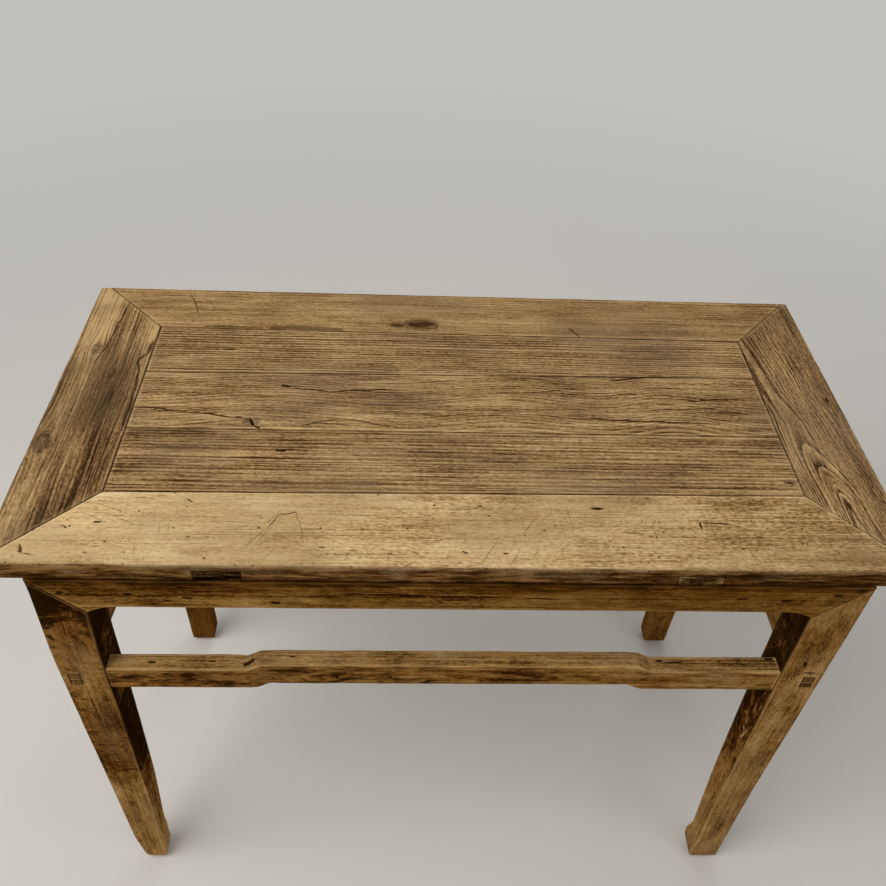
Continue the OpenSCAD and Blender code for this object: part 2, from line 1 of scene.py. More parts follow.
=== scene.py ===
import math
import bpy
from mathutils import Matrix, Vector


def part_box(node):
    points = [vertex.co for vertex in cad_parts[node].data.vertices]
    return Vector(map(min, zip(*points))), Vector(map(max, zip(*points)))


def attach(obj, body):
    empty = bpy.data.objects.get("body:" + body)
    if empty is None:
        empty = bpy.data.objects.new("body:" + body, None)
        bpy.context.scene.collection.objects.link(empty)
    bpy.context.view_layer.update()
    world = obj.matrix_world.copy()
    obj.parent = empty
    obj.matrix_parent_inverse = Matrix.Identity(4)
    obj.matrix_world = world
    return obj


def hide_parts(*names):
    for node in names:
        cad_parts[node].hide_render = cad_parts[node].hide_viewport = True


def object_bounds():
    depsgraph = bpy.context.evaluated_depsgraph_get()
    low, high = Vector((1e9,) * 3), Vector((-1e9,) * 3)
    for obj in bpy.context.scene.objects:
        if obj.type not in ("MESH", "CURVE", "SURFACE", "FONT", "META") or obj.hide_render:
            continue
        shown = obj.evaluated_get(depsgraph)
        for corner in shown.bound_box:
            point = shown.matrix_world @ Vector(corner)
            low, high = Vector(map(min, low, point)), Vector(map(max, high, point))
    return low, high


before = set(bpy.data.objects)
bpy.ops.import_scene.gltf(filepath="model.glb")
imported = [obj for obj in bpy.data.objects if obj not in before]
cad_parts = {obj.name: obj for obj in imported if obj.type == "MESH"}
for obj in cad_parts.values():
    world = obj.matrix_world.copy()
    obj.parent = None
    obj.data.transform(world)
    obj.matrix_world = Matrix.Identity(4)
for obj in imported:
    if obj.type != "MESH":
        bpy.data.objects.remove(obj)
cad_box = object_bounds()

# Old Chinese console table of worn elm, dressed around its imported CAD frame

# Each CAD node is copied, cut into a fine lattice along its grain, and worn: rounded arrises, open joints,
# washed-out grain, knots, cracks and chips. What a point of the wood carries, such as its growth ring or
# its dirt, is kept as attributes, from which one procedural material per piece paints the elm.
# Lengths are in millimetres up to the point where a mesh is made.

from types import SimpleNamespace

import bmesh
import bpy
import numpy as np
from mathutils import Matrix, Vector
from mathutils.bvhtree import BVHTree

MM = 0.001
X, Y, Z = 0, 1, 2
TABLE_TOP = cad_box[1][Z] / MM
# Half the length and the depth of the top
TOP_HALF_X, TOP_HALF_Y = cad_box[1][X] / MM, cad_box[1][Y] / MM
COARSER = 1.0


# Noise

# Numbers that mix a seed and the place of a cell into a repeatable random number
SEED_STEP, SEED_START = 40503, 12345
CELL_PRIMES = (374761393, 668265263, 960938093)
MIX_PRIME = 739982445
LOW_32, LOW_24 = 0xFFFFFFFF, 0xFFFFFF


def cell_random(seed, *cells):
    """A repeatable number from 0 to 1 for each cell of a lattice."""
    mixed = np.full(np.shape(cells[0]), seed * SEED_STEP + SEED_START, np.int64)
    for cell, prime in zip(cells, CELL_PRIMES):
        mixed = (mixed + cell.astype(np.int64) * prime) & LOW_32
        mixed = ((mixed ^ (mixed >> 15)) * MIX_PRIME) & LOW_32
    return ((mixed ^ (mixed >> 13)) & LOW_24) / LOW_24


def noise(seed, *axes):
    """Smooth noise from -1 to 1 over one to three axes, one cell for each unit."""
    cells = [np.floor(a) for a in axes]
    parts = [a - c for a, c in zip(axes, cells)]
    eased = [t * t * (3 - 2 * t) for t in parts]
    total = 0
    for corner in range(2 ** len(axes)):
        weight = 1
        where = []
        for k, (cell, t) in enumerate(zip(cells, eased)):
            step = (corner >> k) & 1
            weight = weight * (t if step else 1 - t)
            where.append(cell + step)
        total = total + weight * cell_random(seed, *where)
    return 2 * total - 1


def rough_noise(seed, octaves, *axes):
    """Noise with finer octaves laid over it."""
    total, size, reach = 0, 1.0, 0.0
    for octave in range(octaves):
        total = total + size * noise(seed + 17 * octave, *[a * 2 ** octave for a in axes])
        reach += size
        size *= 0.5
    return total / reach


def ease(t):
    t = np.clip(t, 0, 1)
    return t * t * (3 - 2 * t)


def rise(value, start, end):
    """0 at the start and 1 at the end, eased between them. The end may lie below the start."""
    return ease((value - start) / (end - start))


def unit(v):
    return v / max(float(np.linalg.norm(v)), 1e-12)


# Cutting a CAD solid into a lattice

# A face turned more than this from its neighbour leaves an arris between them
SHARP = math.radians(40)
# Narrow bands are cut at these distances from an arris, so that it can be rounded, but no further out
# than its rounding and this much more
BANDS = (0.7, 1.9, 3.2)
PAST_ROUNDING = 1.2
# A shorter edge isn't worn
SHORTEST_ARRIS = 2
# A point this close to the plane of a face lies on it, since some faces are a little twisted
ON_FACE = 0.15
# Another piece this close to a face covers it
COVERED = 4.0
# It is looked for from this far under the face, and for a side of an arris from this far into that side
UNDER_FACE, INTO_SIDE = 0.3, 1.5
# Facets that turn less than this from each other are parts of one flat face
FLAT = 0.003
# The lattice starts from flat faces square to an axis with at least this area, and takes close ones as one
LEAST_AREA, SAME_PLACE = 20, 0.8
# Cuts along the grain are at least this far apart, and a cut takes points this close to its plane
LEAST_STEP = 0.4
CUT_REACH = 0.001


def solid_of(node):
    """A node's CAD mesh in millimetres, welded, with the triangles of flat faces joined."""
    bm = bmesh.new()
    bm.from_mesh(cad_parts[node].data)
    bmesh.ops.remove_doubles(bm, verts=bm.verts, dist=1e-6)
    bmesh.ops.dissolve_limit(bm, angle_limit=FLAT, verts=bm.verts, edges=bm.edges)
    bmesh.ops.scale(bm, vec=(1 / MM, 1 / MM, 1 / MM), verts=bm.verts)
    bm.normal_update()
    return bm


SOLIDS = {node: solid_of(node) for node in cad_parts}


def near_boxes(node):
    """The other nodes whose boxes touch this node's box."""
    low, high = (np.array(corner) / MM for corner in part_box(node))
    found = []
    for other in SOLIDS:
        if other != node:
            other_low, other_high = (np.array(corner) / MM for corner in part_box(other))
            if np.all(other_low < high + COVERED) and np.all(other_high > low - COVERED):
                found.append(other)
    return found


def neighbours_tree(node):
    """One search tree of all the pieces beside this one."""
    points, faces = [], []
    for other in near_boxes(node):
        solid = SOLIDS[other]
        solid.verts.index_update()
        start = len(points)
        points += [v.co.copy() for v in solid.verts]
        faces += [[start + v.index for v in f.verts] for f in solid.faces]
    return BVHTree.FromPolygons(points, faces) if points else None


def is_open(tree, point, normal):
    """Whether no other piece covers this point of a surface."""
    if tree is None:
        return True
    start = Vector(point) - Vector(normal) * UNDER_FACE
    return tree.ray_cast(start, Vector(normal), COVERED)[0] is None


def find_arrises(bm, tree):
    """Each outer sharp edge with an open side: its ends, and for each side its face's number, normal,
    direction into the face, and whether that side is open."""
    number = bm.faces.layers.int.new("number")
    for n, face in enumerate(bm.faces):
        face[number] = n
    arrises = []
    for edge in bm.edges:
        if (len(edge.link_faces) != 2 or edge.calc_face_angle_signed(0) < SHARP
                or edge.calc_length() < SHORTEST_ARRIS):
            continue
        sides = []
        for loop in edge.link_loops:
            start, end = loop.vert.co, loop.link_loop_next.vert.co
            normal = loop.face.normal
            inwards = normal.cross(end - start).normalized()
            side_open = is_open(tree, (start + end) / 2 + inwards * INTO_SIDE, normal)
            sides.append((loop.face[number], np.array(normal), np.array(inwards), side_open))
        if any(side[3] for side in sides):
            arrises.append((np.array(edge.verts[0].co), np.array(edge.verts[1].co), sides))
    return number, arrises


def cut(bm, geom, point, normal):
    bmesh.ops.bisect_plane(bm, geom=geom, plane_co=point, plane_no=normal, dist=CUT_REACH)


def cut_bands(bm, number, arrises, reach):
    """Cuts narrow bands beside arrises, on their open sides only and no further out than needed."""
    for start, _, sides in arrises:
        for face_number, _, inwards, side_open in sides:
            if side_open:
                for offset in [band for band in BANDS if band < reach]:
                    faces = [f for f in bm.faces if f[number] == face_number]
                    geom = set(faces)
                    for f in faces:
                        geom.update(f.edges)
                        geom.update(f.verts)
                    cut(bm, list(geom), start + inwards * offset, inwards)


def flat_places(bm, axis):
    """Where larger flat faces square to an axis lie, with close ones taken as one."""
    places = sorted(f.calc_center_median()[axis] for f in bm.faces
                    if abs(f.normal[axis]) > 0.999 and f.calc_area() > LEAST_AREA)
    values = [v.co[axis] for v in bm.verts]
    kept = [min(values)]
    for place in places + [max(values)]:
        if place - kept[-1] > SAME_PLACE:
            kept.append(place)
    return kept


def lattice_places(places, pitch):
    """Even places between flat faces, about a pitch apart."""
    lines = []
    for low, high in zip(places, places[1:]):
        n = max(1, round((high - low) / pitch))
        lines += [low + (high - low) * i / n for i in range(1, n)]
    return lines


def cut_across(bm, axis, place):
    """Cuts the whole solid square to an axis."""
    square = Vector([float(k == axis) for k in range(3)])
    cut(bm, bm.verts[:] + bm.edges[:] + bm.faces[:], square * place, square)


def slabs(bm, along, stations):
    """Cuts a solid across its grain at the stations: the points and faces of its surface. What lies behind
    each cut is kept and taken off, so that the next cut meets few faces."""
    seen, cells = {}, []

    def keep(faces):
        for face in faces:
            cells.append([seen.setdefault(v.co[:], len(seen)) for v in face.verts])

    last = -math.inf
    for place in sorted(stations):
        if place - last < LEAST_STEP:
            continue
        last = place
        cut_across(bm, along, place)
        done = [f for f in bm.faces if max(v.co[along] for v in f.verts) < place + 2 * CUT_REACH]
        keep(done)
        bmesh.ops.delete(bm, geom=done, context="FACES")
    keep(bm.faces)
    return np.array(list(seen), float), cells


def lattice_of(node, wood, tree):
    """A node's surface as fine cells: points, faces, and the arrises it had as a solid."""
    bm = SOLIDS[node].copy()
    along, pitches = wood["along"], [p * COARSER for p in wood["pitch"]]
    number, arrises = find_arrises(bm, tree)
    places = [flat_places(bm, axis) for axis in range(3)]
    cut_bands(bm, number, arrises, wood["round"] + PAST_ROUNDING)
    for axis in range(3):
        if axis != along:
            for place in lattice_places(places[axis], pitches[axis]):
                cut_across(bm, axis, place)
    stations = lattice_places(places[along], pitches[along])
    for low, high, step in list(wood["fine"]) + stations_at_marks(wood):
        stations += list(np.arange(low, high, step * COARSER))
    points, cells = slabs(bm, along, stations)
    bm.free()
    return points, cells, arrises


# Wear

# Arrises whose directions differ less than this, as a cosine, are worn as one
SAME_WAY = 0.94
# Half the width of the groove at a joint line
GROOVE_HALF = 2.2
# The distance of a point that has no arris near it
FAR = 99.0


def grouped(arrises):
    """Arrises that run the same way and are alike in being free or part of a joint line."""
    groups = []
    for start, end, sides in arrises:
        direction = unit(end - start)
        free = all(side[3] for side in sides)
        for group in groups:
            if group.free == free and abs(group.direction @ direction) > SAME_WAY:
                group.members.append((start, end, sides))
                break
        else:
            groups.append(SimpleNamespace(free=free, direction=direction, members=[(start, end, sides)]))
    return groups


def nearest_of(points, members):
    """For each point its distance from the nearest edge, which edge that is, and the nearest place on it."""
    nearest = np.full(len(points), FAR)
    which = np.full(len(points), -1)
    foot = np.zeros_like(points)
    for m, (start, end, _) in enumerate(members):
        span = end - start
        t = np.clip((points - start) @ span / (span @ span), 0, 1)
        place = start + t[:, None] * span
        gap = np.linalg.norm(points - place, axis=1)
        closer = gap < nearest - 1e-6
        nearest[closer] = gap[closer]
        which[closer] = m
        foot[closer] = place[closer]
    return nearest, which, foot


def rounding(nearest, radius, normal, inwards):
    """The way from a flat face to the round that takes its arris off."""
    turn = math.pi / 4 * np.clip(1 - nearest / radius, 0, 1)
    down = radius * (1 - np.cos(turn))
    slide = np.where(turn > 0, radius * (1 - np.sin(turn)) - nearest, 0)
    return slide[:, None] * inwards - down[:, None] * normal


def joint_lines_and_arrises(points, arrises, wood):
    """How far each point moves to round the free arrises and to open the joint lines,
    and its distance from the nearest of each."""
    shift = np.zeros_like(points)
    distance = {True: np.full(len(points), FAR), False: np.full(len(points), FAR)}
    for g, group in enumerate(grouped(arrises)):
        nearest, which, foot = nearest_of(points, group.members)
        np.minimum(distance[group.free], nearest, out=distance[group.free])
        uneven = 0.5 + 0.5 * rough_noise(31 + g, 2, *(foot.T / 28))
        chipped = ease((rough_noise(61 + g, 2, *(foot.T / 11)) - 0.30) / 0.35)
        radius = wood["round"] * (1 + wood["ragged"] * (uneven - 0.5) + wood["chips"] * chipped)
        groove = wood["groove"] * (0.4 + 1.2 * uneven) * np.clip(1 - nearest / GROOVE_HALF, 0, 1) ** 2
        for m, (_, _, sides) in enumerate(group.members):
            waiting = which == m
            for _, normal, inwards, side_open in sides:
                if side_open:
                    on_face = waiting & (np.abs((points - foot) @ normal) < ON_FACE)
                    step = (rounding(nearest, radius, normal, inwards) if group.free
                            else -groove[:, None] * normal)
                    shift[on_face] += step[on_face]
                    waiting &= ~on_face
    return shift, distance[True], distance[False]


# Faces that marks lie on: the two axes they are placed by, and the direction the face looks in
FACES = {
    "top": (X, Y, (0, 0, 1)),
    "front": (X, Z, (0, -1, 0)),
    "inner": (Y, Z, (-1, 0, 0)),
}
# A surface is part of such a face if its normal's share in that direction is above this
LOOKS_THERE = 0.35
# How far to its sides a mark is known, so that its line stays sharp between the points of the lattice:
# the cells are narrow across the grain and long along it, but for closer cuts at the short marks
MARK_REACH, MARK_REACH_NARROW = 5.5, 2.8
# A mark that runs less than this along the grain is short, and its closer cuts are this far apart
SHORT_MARK, STEP_AT_MARK = 14, 1.5
# A mark runs with the grain if this share of it does, and is a spot if it is shorter than this many widths
WITH_GRAIN = 0.9
SPOT = 2.5
# A mark fades out over this distance past its ends
MARK_FADE = 2
# How many half widths away a point lies that has no mark on its face
NO_MARK = 9.0


def beside_mark(u, v, mark):
    """How far each point lies from a mark, its offset to the mark's side, the mark's half width there,
    and how much of it is left past its ends."""
    u0, v0, u1, v1, width = mark[:5]
    length = math.hypot(u1 - u0, v1 - v0)
    run_u, run_v = (u1 - u0) / length, (v1 - v0) / length
    t = (u - u0) * run_u + (v - v0) * run_v
    across = (u - u0) * run_v - (v - v0) * run_u
    across = across + min(0.8, length / 60) * noise(7, t / 9, np.zeros_like(t))
    past_end = np.clip(np.maximum(-t, t - length), 0, None)
    gap = np.hypot(across, past_end)
    if length < SPOT * width:
        return gap, gap, 0.5 * width, 1
    half = 0.625 * width * np.sqrt(np.clip(4 * t / length * (1 - t / length), 0.2, 1))
    return gap, across, half, rise(past_end, MARK_FADE, 0)


def reach_of(mark, first_is_along):
    """How far to its sides a mark is known."""
    u0, v0, u1, v1 = mark[:4]
    run = abs(u1 - u0) if first_is_along else abs(v1 - v0)
    narrow = run < SHORT_MARK or run > WITH_GRAIN * math.hypot(u1 - u0, v1 - v0)
    return COARSER * (MARK_REACH_NARROW if narrow else MARK_REACH)


def marks_on(points, normals, wood):
    """For the nearest mark: how far to its side each point lies, counted in half widths,
    and how dark it is there. And how deep all the marks are."""
    side = np.full(len(points), NO_MARK)
    dark = np.zeros(len(points))
    depth = np.zeros(len(points))
    nearest = np.full(len(points), np.inf)
    for face, marks in wood["marks"].items():
        first, second, looks = FACES[face]
        on_face = normals @ np.array(looks) > LOOKS_THERE
        for mark in marks:
            deep, darkness = mark[5:]
            gap, offset, half, left = beside_mark(points[:, first], points[:, second], mark)
            reach = reach_of(mark, first == wood["along"])
            here = on_face & (gap < nearest)
            nearest[here] = gap[here]
            side[here] = (offset / half)[here]
            dark[here] = np.where(gap < reach + half, darkness * left, 0)[here]
            depth = np.maximum(depth, np.where(on_face, deep * ease(1.5 - gap / (half + 0.3)) * left, 0))
    return side, dark, depth


def stations_at_marks(wood):
    """Closer cuts across the grain at the holes and at the short marks."""
    cuts = []
    for face, marks in wood["marks"].items():
        for u0, v0, u1, v1, width, _, _ in marks:
            low, high = sorted((u0, u1) if FACES[face][0] == wood["along"] else (v0, v1))
            if high - low < SHORT_MARK:
                cuts.append((low - 0.6 * width - 0.7, high + 0.6 * width + 0.8, STEP_AT_MARK))
    return cuts


def glide(at, stations, values):
    """Values between stations, eased so that nothing kinks at a station."""
    stations, values = np.array(stations, float), np.array(values, float)
    if len(stations) == 1:
        return np.full(len(at), values[0])
    n = np.clip(np.searchsorted(stations, at) - 1, 0, len(stations) - 2)
    t = rise(at, stations[n], stations[n + 1])
    return values[n] + (values[n + 1] - values[n]) * t


def grain_of(points, wood):
    """The growth rings, counted from the pith, the grain's own coordinates, led round the knots,
    and how much of each point is knot."""
    along, across, seed = wood["along"], wood["across"], wood["seed"]
    a, at_b, c = points[:, along], points[:, across], points[:, 3 - along - across]
    sway, sway_length = wood["sway"]
    b = at_b + sway * rough_noise(seed, 3, a / sway_length, at_b / 45, c / 90)
    knot = np.zeros(len(points))
    knot_rings = np.zeros(len(points))
    for knot_a, knot_b, radius, spread in wood["knots"]:
        away = np.hypot((a - knot_a) / (2.4 * spread), (at_b - knot_b) / spread)
        b = knot_b + (b - knot_b) * (1 - 0.8 * np.exp(-away ** 2))
        inside = np.hypot((a - knot_a) / 1.7, at_b - knot_b) / radius
        core = ease(1.6 - inside)
        knot = np.maximum(knot, core)
        knot_rings = np.where(core > 0, inside * radius / 2.2, knot_rings)
    stations, pith_b, pith_c = zip(*wood["pith"])
    rings = np.hypot(b - glide(a, stations, pith_b), c - glide(a, stations, pith_c))
    rings = rings + 0.22 * wood["ring"] * rough_noise(seed + 3, 3, a / 110, rings / 9)
    rings = rings / wood["ring"] + 0.6 * noise(seed + 4, rings / (2.7 * wood["ring"]))
    rings = rings * (1 - knot) + knot_rings * knot
    return rings, np.stack([a, b, c], 1), knot


# Early wood takes up this share of a ring, and is softest in its middle
EARLY_WOOD = 0.45


def washed_out(rings, seed):
    """How low the wood lies at this ring, from 0 to 1: soft early wood is worn down, late wood stands."""
    phase = rings - np.floor(rings)
    how_soft = 0.35 + 0.65 * cell_random(seed, np.floor(rings))
    early = np.where(phase < EARLY_WOOD, 1 - np.abs(phase / (EARLY_WOOD / 2) - 1), 0)
    return how_soft * np.clip(early, 0, 1) ** 0.7


def dents_on(points, wood, opened):
    """Shallow dents, longer along the grain."""
    count, size, deep = wood["dents"]
    depth = np.zeros(len(points))
    spots = np.flatnonzero(opened > 0.5)
    if not count or not len(spots):
        return depth
    rng = np.random.default_rng(wood["seed"])
    stretch = np.ones(3)
    stretch[wood["along"]] = 0.6
    for spot in rng.choice(spots, count):
        reach = size * rng.uniform(0.4, 1.3)
        gap = np.linalg.norm((points - points[spot]) * stretch, axis=1) / reach
        depth += deep * rng.uniform(0.3, 1) * np.exp(-gap ** 2)
    return depth


# How the real table has warped

# Distance from the middle of the table to the outer face of a leg
LEG_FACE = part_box("leg_front_right")[1][X] / MM
# Middles of the soles, how far round each a foot reaches, and how the soles are worn round:
# the height that this takes up, and the share of the way to the middle
SOLE_X, SOLE_Y = 454.5, 212.5
FOOT_REACH = 60
SOLE_HEIGHT, SOLE_ROUNDING = 14, 0.3
# The left front leg: its bow outwards, how much slimmer its foot is, and what is worn off
# the outer side of its sole and the inner side of its hoof
BOW, SLIMMER, SOLE_WORN, HOOF_WORN = 6.0, 0.1, 3.5, 4.5
# How far the right front foot has crept forwards
CREPT = 4.0


def settle(points):
    """Moves points as the whole table has moved with age: the left front leg bows outwards,
    the right front foot has crept forwards, and the soles are worn round."""
    x, y, z = points.T
    moved = points.copy()
    front_left = rise(x, -330, -430) * rise(y, -60, -160)
    front_right = rise(x, 330, 430) * rise(y, -60, -160)
    moved[:, X] -= BOW * rise(z, 0, 90) * rise(z, 735, 565) * front_left
    moved[:, X] -= SLIMMER * rise(z, 240, 40) * front_left * (x + LEG_FACE)
    moved[:, X] += SOLE_WORN * rise(z, 24, 0) * rise(x, -466, -474) * front_left
    moved[:, X] -= HOOF_WORN * rise(z, 62, 28) * rise(x + LEG_FACE, 26, 38) * front_left
    low_down = np.clip(1 - z / SOLE_HEIGHT, 0, 1)
    rounded = SOLE_ROUNDING * (1 - np.sqrt(1 - low_down ** 2))
    for side_x in (-SOLE_X, SOLE_X):
        for side_y in (-SOLE_Y, SOLE_Y):
            near_sole = (np.abs(x - side_x) < FOOT_REACH) & (np.abs(y - side_y) < FOOT_REACH)
            moved[:, X] += (side_x - x) * rounded * near_sole
            moved[:, Y] += (side_y - y) * rounded * near_sole
    moved[:, Y] -= CREPT * rise(z, 260, 0) * front_right
    return moved


# The wood of each piece

# along, across: the grain's axis and the axis across it on the face that shows most; pitch: size of the
# cells; fine: closer cuts, from, to, step.
# pith: where the tree's centre runs, by place along the grain; ring: width of a growth ring; sway: how far
# and how often the grain wanders; relief: depth of the washed-out early wood.
# round, groove: rounding of the arrises and depth of the open joints; ragged, chips: how uneven and how
# chipped that rounding is; dents: number, size and depth.
# knots: place along and across, radius and spread; stain: how thick the old finish lies, by height, and at
# the top of an apron painted shade under the overhang; inner_stain_and_shade, outer_stain, edge_stain: more
# of it on faces that look to the middle or outwards, and near arrises, the inner share being real finish and
# painted shade;
# front_stain: more of it on the front, by place along the grain; weathered: how grey the outer edges are, and
# how much crust is laid under them as painted shade.
# tones, tones_across: how much lighter or darker the colour is made, by place along the grain and across it;
# on the front rail the darkening to the right is painted falloff of light.
PLAIN = dict(
    along=X, across=Y, pitch=(6, 4, 4), fine=(), ring=4.5, pith=((0, -700, 500),),
    sway=(2.0, 260), relief=0.25, round=1.8, ragged=0.7, chips=0.2, groove=0.7,
    dents=(12, 9, 0.3), knots=(), marks={}, seed=1, stain_and_shade=((0, 0),), inner_stain_and_shade=0,
    outer_stain=0, edge_stain=0, front_stain=((0, 0),), weathered_and_shade=0, tones=((0, 0),),
    tones_across=((0, 0),),
)
# Closer cuts for the rounded soles
NEAR_SOLE = (1, 17, 2)
# What pieces of one kind share
LONG_RAIL = dict(PLAIN, pitch=(5, 1.3, 3.4), groove=1.0)
END_RAIL = dict(PLAIN, along=Y, across=X, pitch=(1.3, 5, 3.4), groove=1.0, round=2.4, weathered_and_shade=0.9)
BOARD = dict(LONG_RAIL, round=1.2)
BATTEN = dict(PLAIN, along=Y, across=X, pitch=(4, 8, 4), relief=0.3, round=1.5)
APRON = dict(PLAIN, across=Z, ring=4.2)
LEG = dict(PLAIN, along=Z, across=X, ring=5.0, sway=(5.0, 260), fine=(NEAR_SOLE,))
FRONT_LEG = dict(LEG, pitch=(2.2, 2.2, 5), relief=0.2, round=2.8, ragged=0.25, chips=0,
                 groove=0.8, dents=(40, 7, 0.2))
STRETCHER = dict(PLAIN, across=Z, ring=4.4, round=2.6)
# More old finish towards the top of the other aprons; the rise is painted shade under the overhang
APRON_STAIN_AND_SHADE = ((680, 0.2), (738, 0.5))

WOOD = {
    "top_rail_front": dict(
        LONG_RAIL, ring=3.4, pith=((0, -900, 700),), sway=(2.5, 420), relief=0.1, round=4.0,
        chips=0.6, dents=(130, 6, 0.4), seed=11, weathered_and_shade=1.0,
        # Lighter at the left and darker to the right: painted falloff of the light from the left
        tones=((-500, 0.1), (-250, 0.06), (50, 0), (300, -0.12), (500, -0.22)),
    ),
    "top_rail_back": dict(
        LONG_RAIL, ring=4.6, pith=((0, -60, 610),), sway=(4.0, 300), relief=0.2, round=2.2,
        dents=(60, 7, 0.35), seed=12, weathered_and_shade=0.8, fine=((-110, -20, 2.5),),
        knots=((-42, 179, 10, 18), (-76, 175, 4, 9)),
    ),
    "top_rail_left": dict(
        END_RAIL, ring=4.6, pith=((0, -640, 700),), sway=(7.0, 240), relief=0.5,
        dents=(60, 8, 0.4), seed=13, tones=((-240, -0.07), (0, -0.1), (120, 0.12), (220, 0.2)),
        tones_across=((-496, 0.14), (-462, 0.12), (-454, -0.06), (-421, -0.1), (-411, 0.06), (-400, 0.14)),
        knots=((108, -470, 4, 11), (-75, -485, 7, 14), (58, -437, 3, 9)),
    ),
    "top_rail_right": dict(
        END_RAIL, ring=3.2, sway=(2.5, 120), relief=0.45, dents=(45, 7, 0.35), seed=14,
        pith=((-250, 457, 794), (-175, 447, 789), (-25, 427, 772), (60, 414, 770), (250, 392, 770)),
        tones=((-220, 0.07), (0, 0), (220, -0.08)),
    ),
    "panel_board_front": dict(
        BOARD, ring=5.4, pith=((0, -800, 560),), sway=(2.0, 460), relief=0.75,
        dents=(26, 7, 0.3), seed=15, knots=((390, -122, 3, 6),),
        tones=((-400, -0.1), (-200, -0.06), (0, 0)),
    ),
    "panel_board_middle": dict(
        BOARD, ring=3.8, sway=(4.0, 120), relief=0.5, groove=1.1, dents=(30, 8, 0.35),
        pith=((-400, -150, 660), (-230, -134, 660), (-90, -146, 660), (60, -128, 660), (190, -141, 660),
              (270, -127, 660), (400, -146, 660)),
        seed=16, knots=((-248, -30, 4, 9), (-216, 39, 2, 5)),
    ),
    "panel_board_back": dict(
        BOARD, ring=4.8, pith=((0, 900, 560),), sway=(3.0, 420), relief=0.6,
        dents=(24, 7, 0.3), seed=17,
    ),
    "batten_left": dict(
        BATTEN, ring=4.0, pith=((0, -900, 640),), seed=21, stain_and_shade=((0, 0.3),), weathered_and_shade=1.3,
    ),
    "batten_right": dict(BATTEN, ring=4.4, pith=((0, 900, 600),), seed=22, weathered_and_shade=1.1),
    "apron_front": dict(
        APRON, pitch=(5, 4, 2.2), pith=((0, 900, -500),), sway=(3.0, 300), relief=0.2,
        round=2.2, groove=0.8, dents=(46, 6, 0.4), seed=31,
        # The steep rise towards the top is painted shade under the overhang of the top
        stain_and_shade=((680, 0.03), (706, 0.1), (716, 0.26), (726, 0.46), (738, 0.75)),
        tones=((-450, 0.06), (0, 0), (450, -0.08)),
    ),
    "leg_front_left": dict(
        FRONT_LEG, pith=((0, -700, -380),), seed=41,
        stain_and_shade=((150, 0), (240, 0.12), (310, 0.4), (400, 0.3), (500, 0.16), (600, 0.22), (650, 0.42),
               (700, 0.9)),
        inner_stain_and_shade=0.54, outer_stain=0.24, edge_stain=0.3,
        tones=((0, 0.14), (120, 0), (300, -0.13), (420, -0.13), (560, 0.04)),
    ),
    "leg_front_right": dict(
        FRONT_LEG, pith=((0, 800, -420),), sway=(6.0, 240), seed=42,
        stain_and_shade=((100, 0), (220, 0.1), (380, 0.2), (520, 0.22), (620, 0.32), (700, 0.3)),
        inner_stain_and_shade=0.5, edge_stain=0.12, tones=((0, -0.1), (200, -0.06), (400, 0.04)),
    ),
    "stretcher_front": dict(
        STRETCHER, pitch=(5, 2.2, 2.2), pith=((0, -260, 900),), sway=(3.5, 260), relief=0.22,
        round=3.0, dents=(60, 7, 0.45), seed=51, stain_and_shade=((0, 0.04),), knots=((-249, 581, 7, 13),),
        front_stain=((-430, 0.54), (-180, 0.47), (120, 0.42), (240, 0.31), (430, 0.31)),
    ),
    # The other pieces are seen less, and have wood of the same kind from another place in the tree
    "apron_back": dict(APRON, pitch=(6, 4, 3), pith=((0, 900, -500),), seed=32, stain_and_shade=APRON_STAIN_AND_SHADE),
    "stretcher_back": dict(
        STRETCHER, pitch=(6, 3, 3), pith=((0, 260, 900),), seed=52, stain_and_shade=((0, 0.3),),
    ),
    "stretcher_wedges": dict(
        PLAIN, pitch=(3, 3, 3), ring=3.0, round=0.3, groove=0.2, relief=0.05,
        dents=(0, 0, 0), seed=58,
    ),
}
for n, (side, apron_pith, leg_pith, stretcher_pith) in enumerate((("left", -600, -700, -600),
                                                                  ("right", 700, 760, 600))):
    WOOD["apron_" + side] = dict(
        APRON, along=Y, pitch=(4, 6, 3), pith=((0, apron_pith, 800),), seed=33 + n,
        stain_and_shade=APRON_STAIN_AND_SHADE,
    )
    WOOD["leg_back_" + side] = dict(
        LEG, pitch=(3, 3, 6), pith=((0, leg_pith, 520),), round=3.0, dents=(50, 8, 0.25),
        seed=43 + n, stain_and_shade=((0, 0.1), (300, 0.25), (600, 0.5)), inner_stain_and_shade=0.25,
    )
    WOOD["stretcher_" + side] = dict(
        STRETCHER, along=Y, pitch=(3, 6, 3), pith=((0, stretcher_pith, 900),), seed=53 + n,
        stain_and_shade=((0, 0.35),), front_stain=((0, 0.35),),
    )
for n, (side, along, pitch) in enumerate((("front", X, (8, 5, 5)), ("back", X, (8, 5, 5)),
                                          ("left", Y, (5, 8, 5)), ("right", Y, (5, 8, 5)))):
    WOOD["waist_" + side] = dict(
        PLAIN, along=along, across=Z, pitch=pitch, ring=4.0, pith=((0, 500, 900),),
        round=0.8, seed=61 + n, dents=(10, 8, 0.3), stain_and_shade=((0, 0.5),),
    )

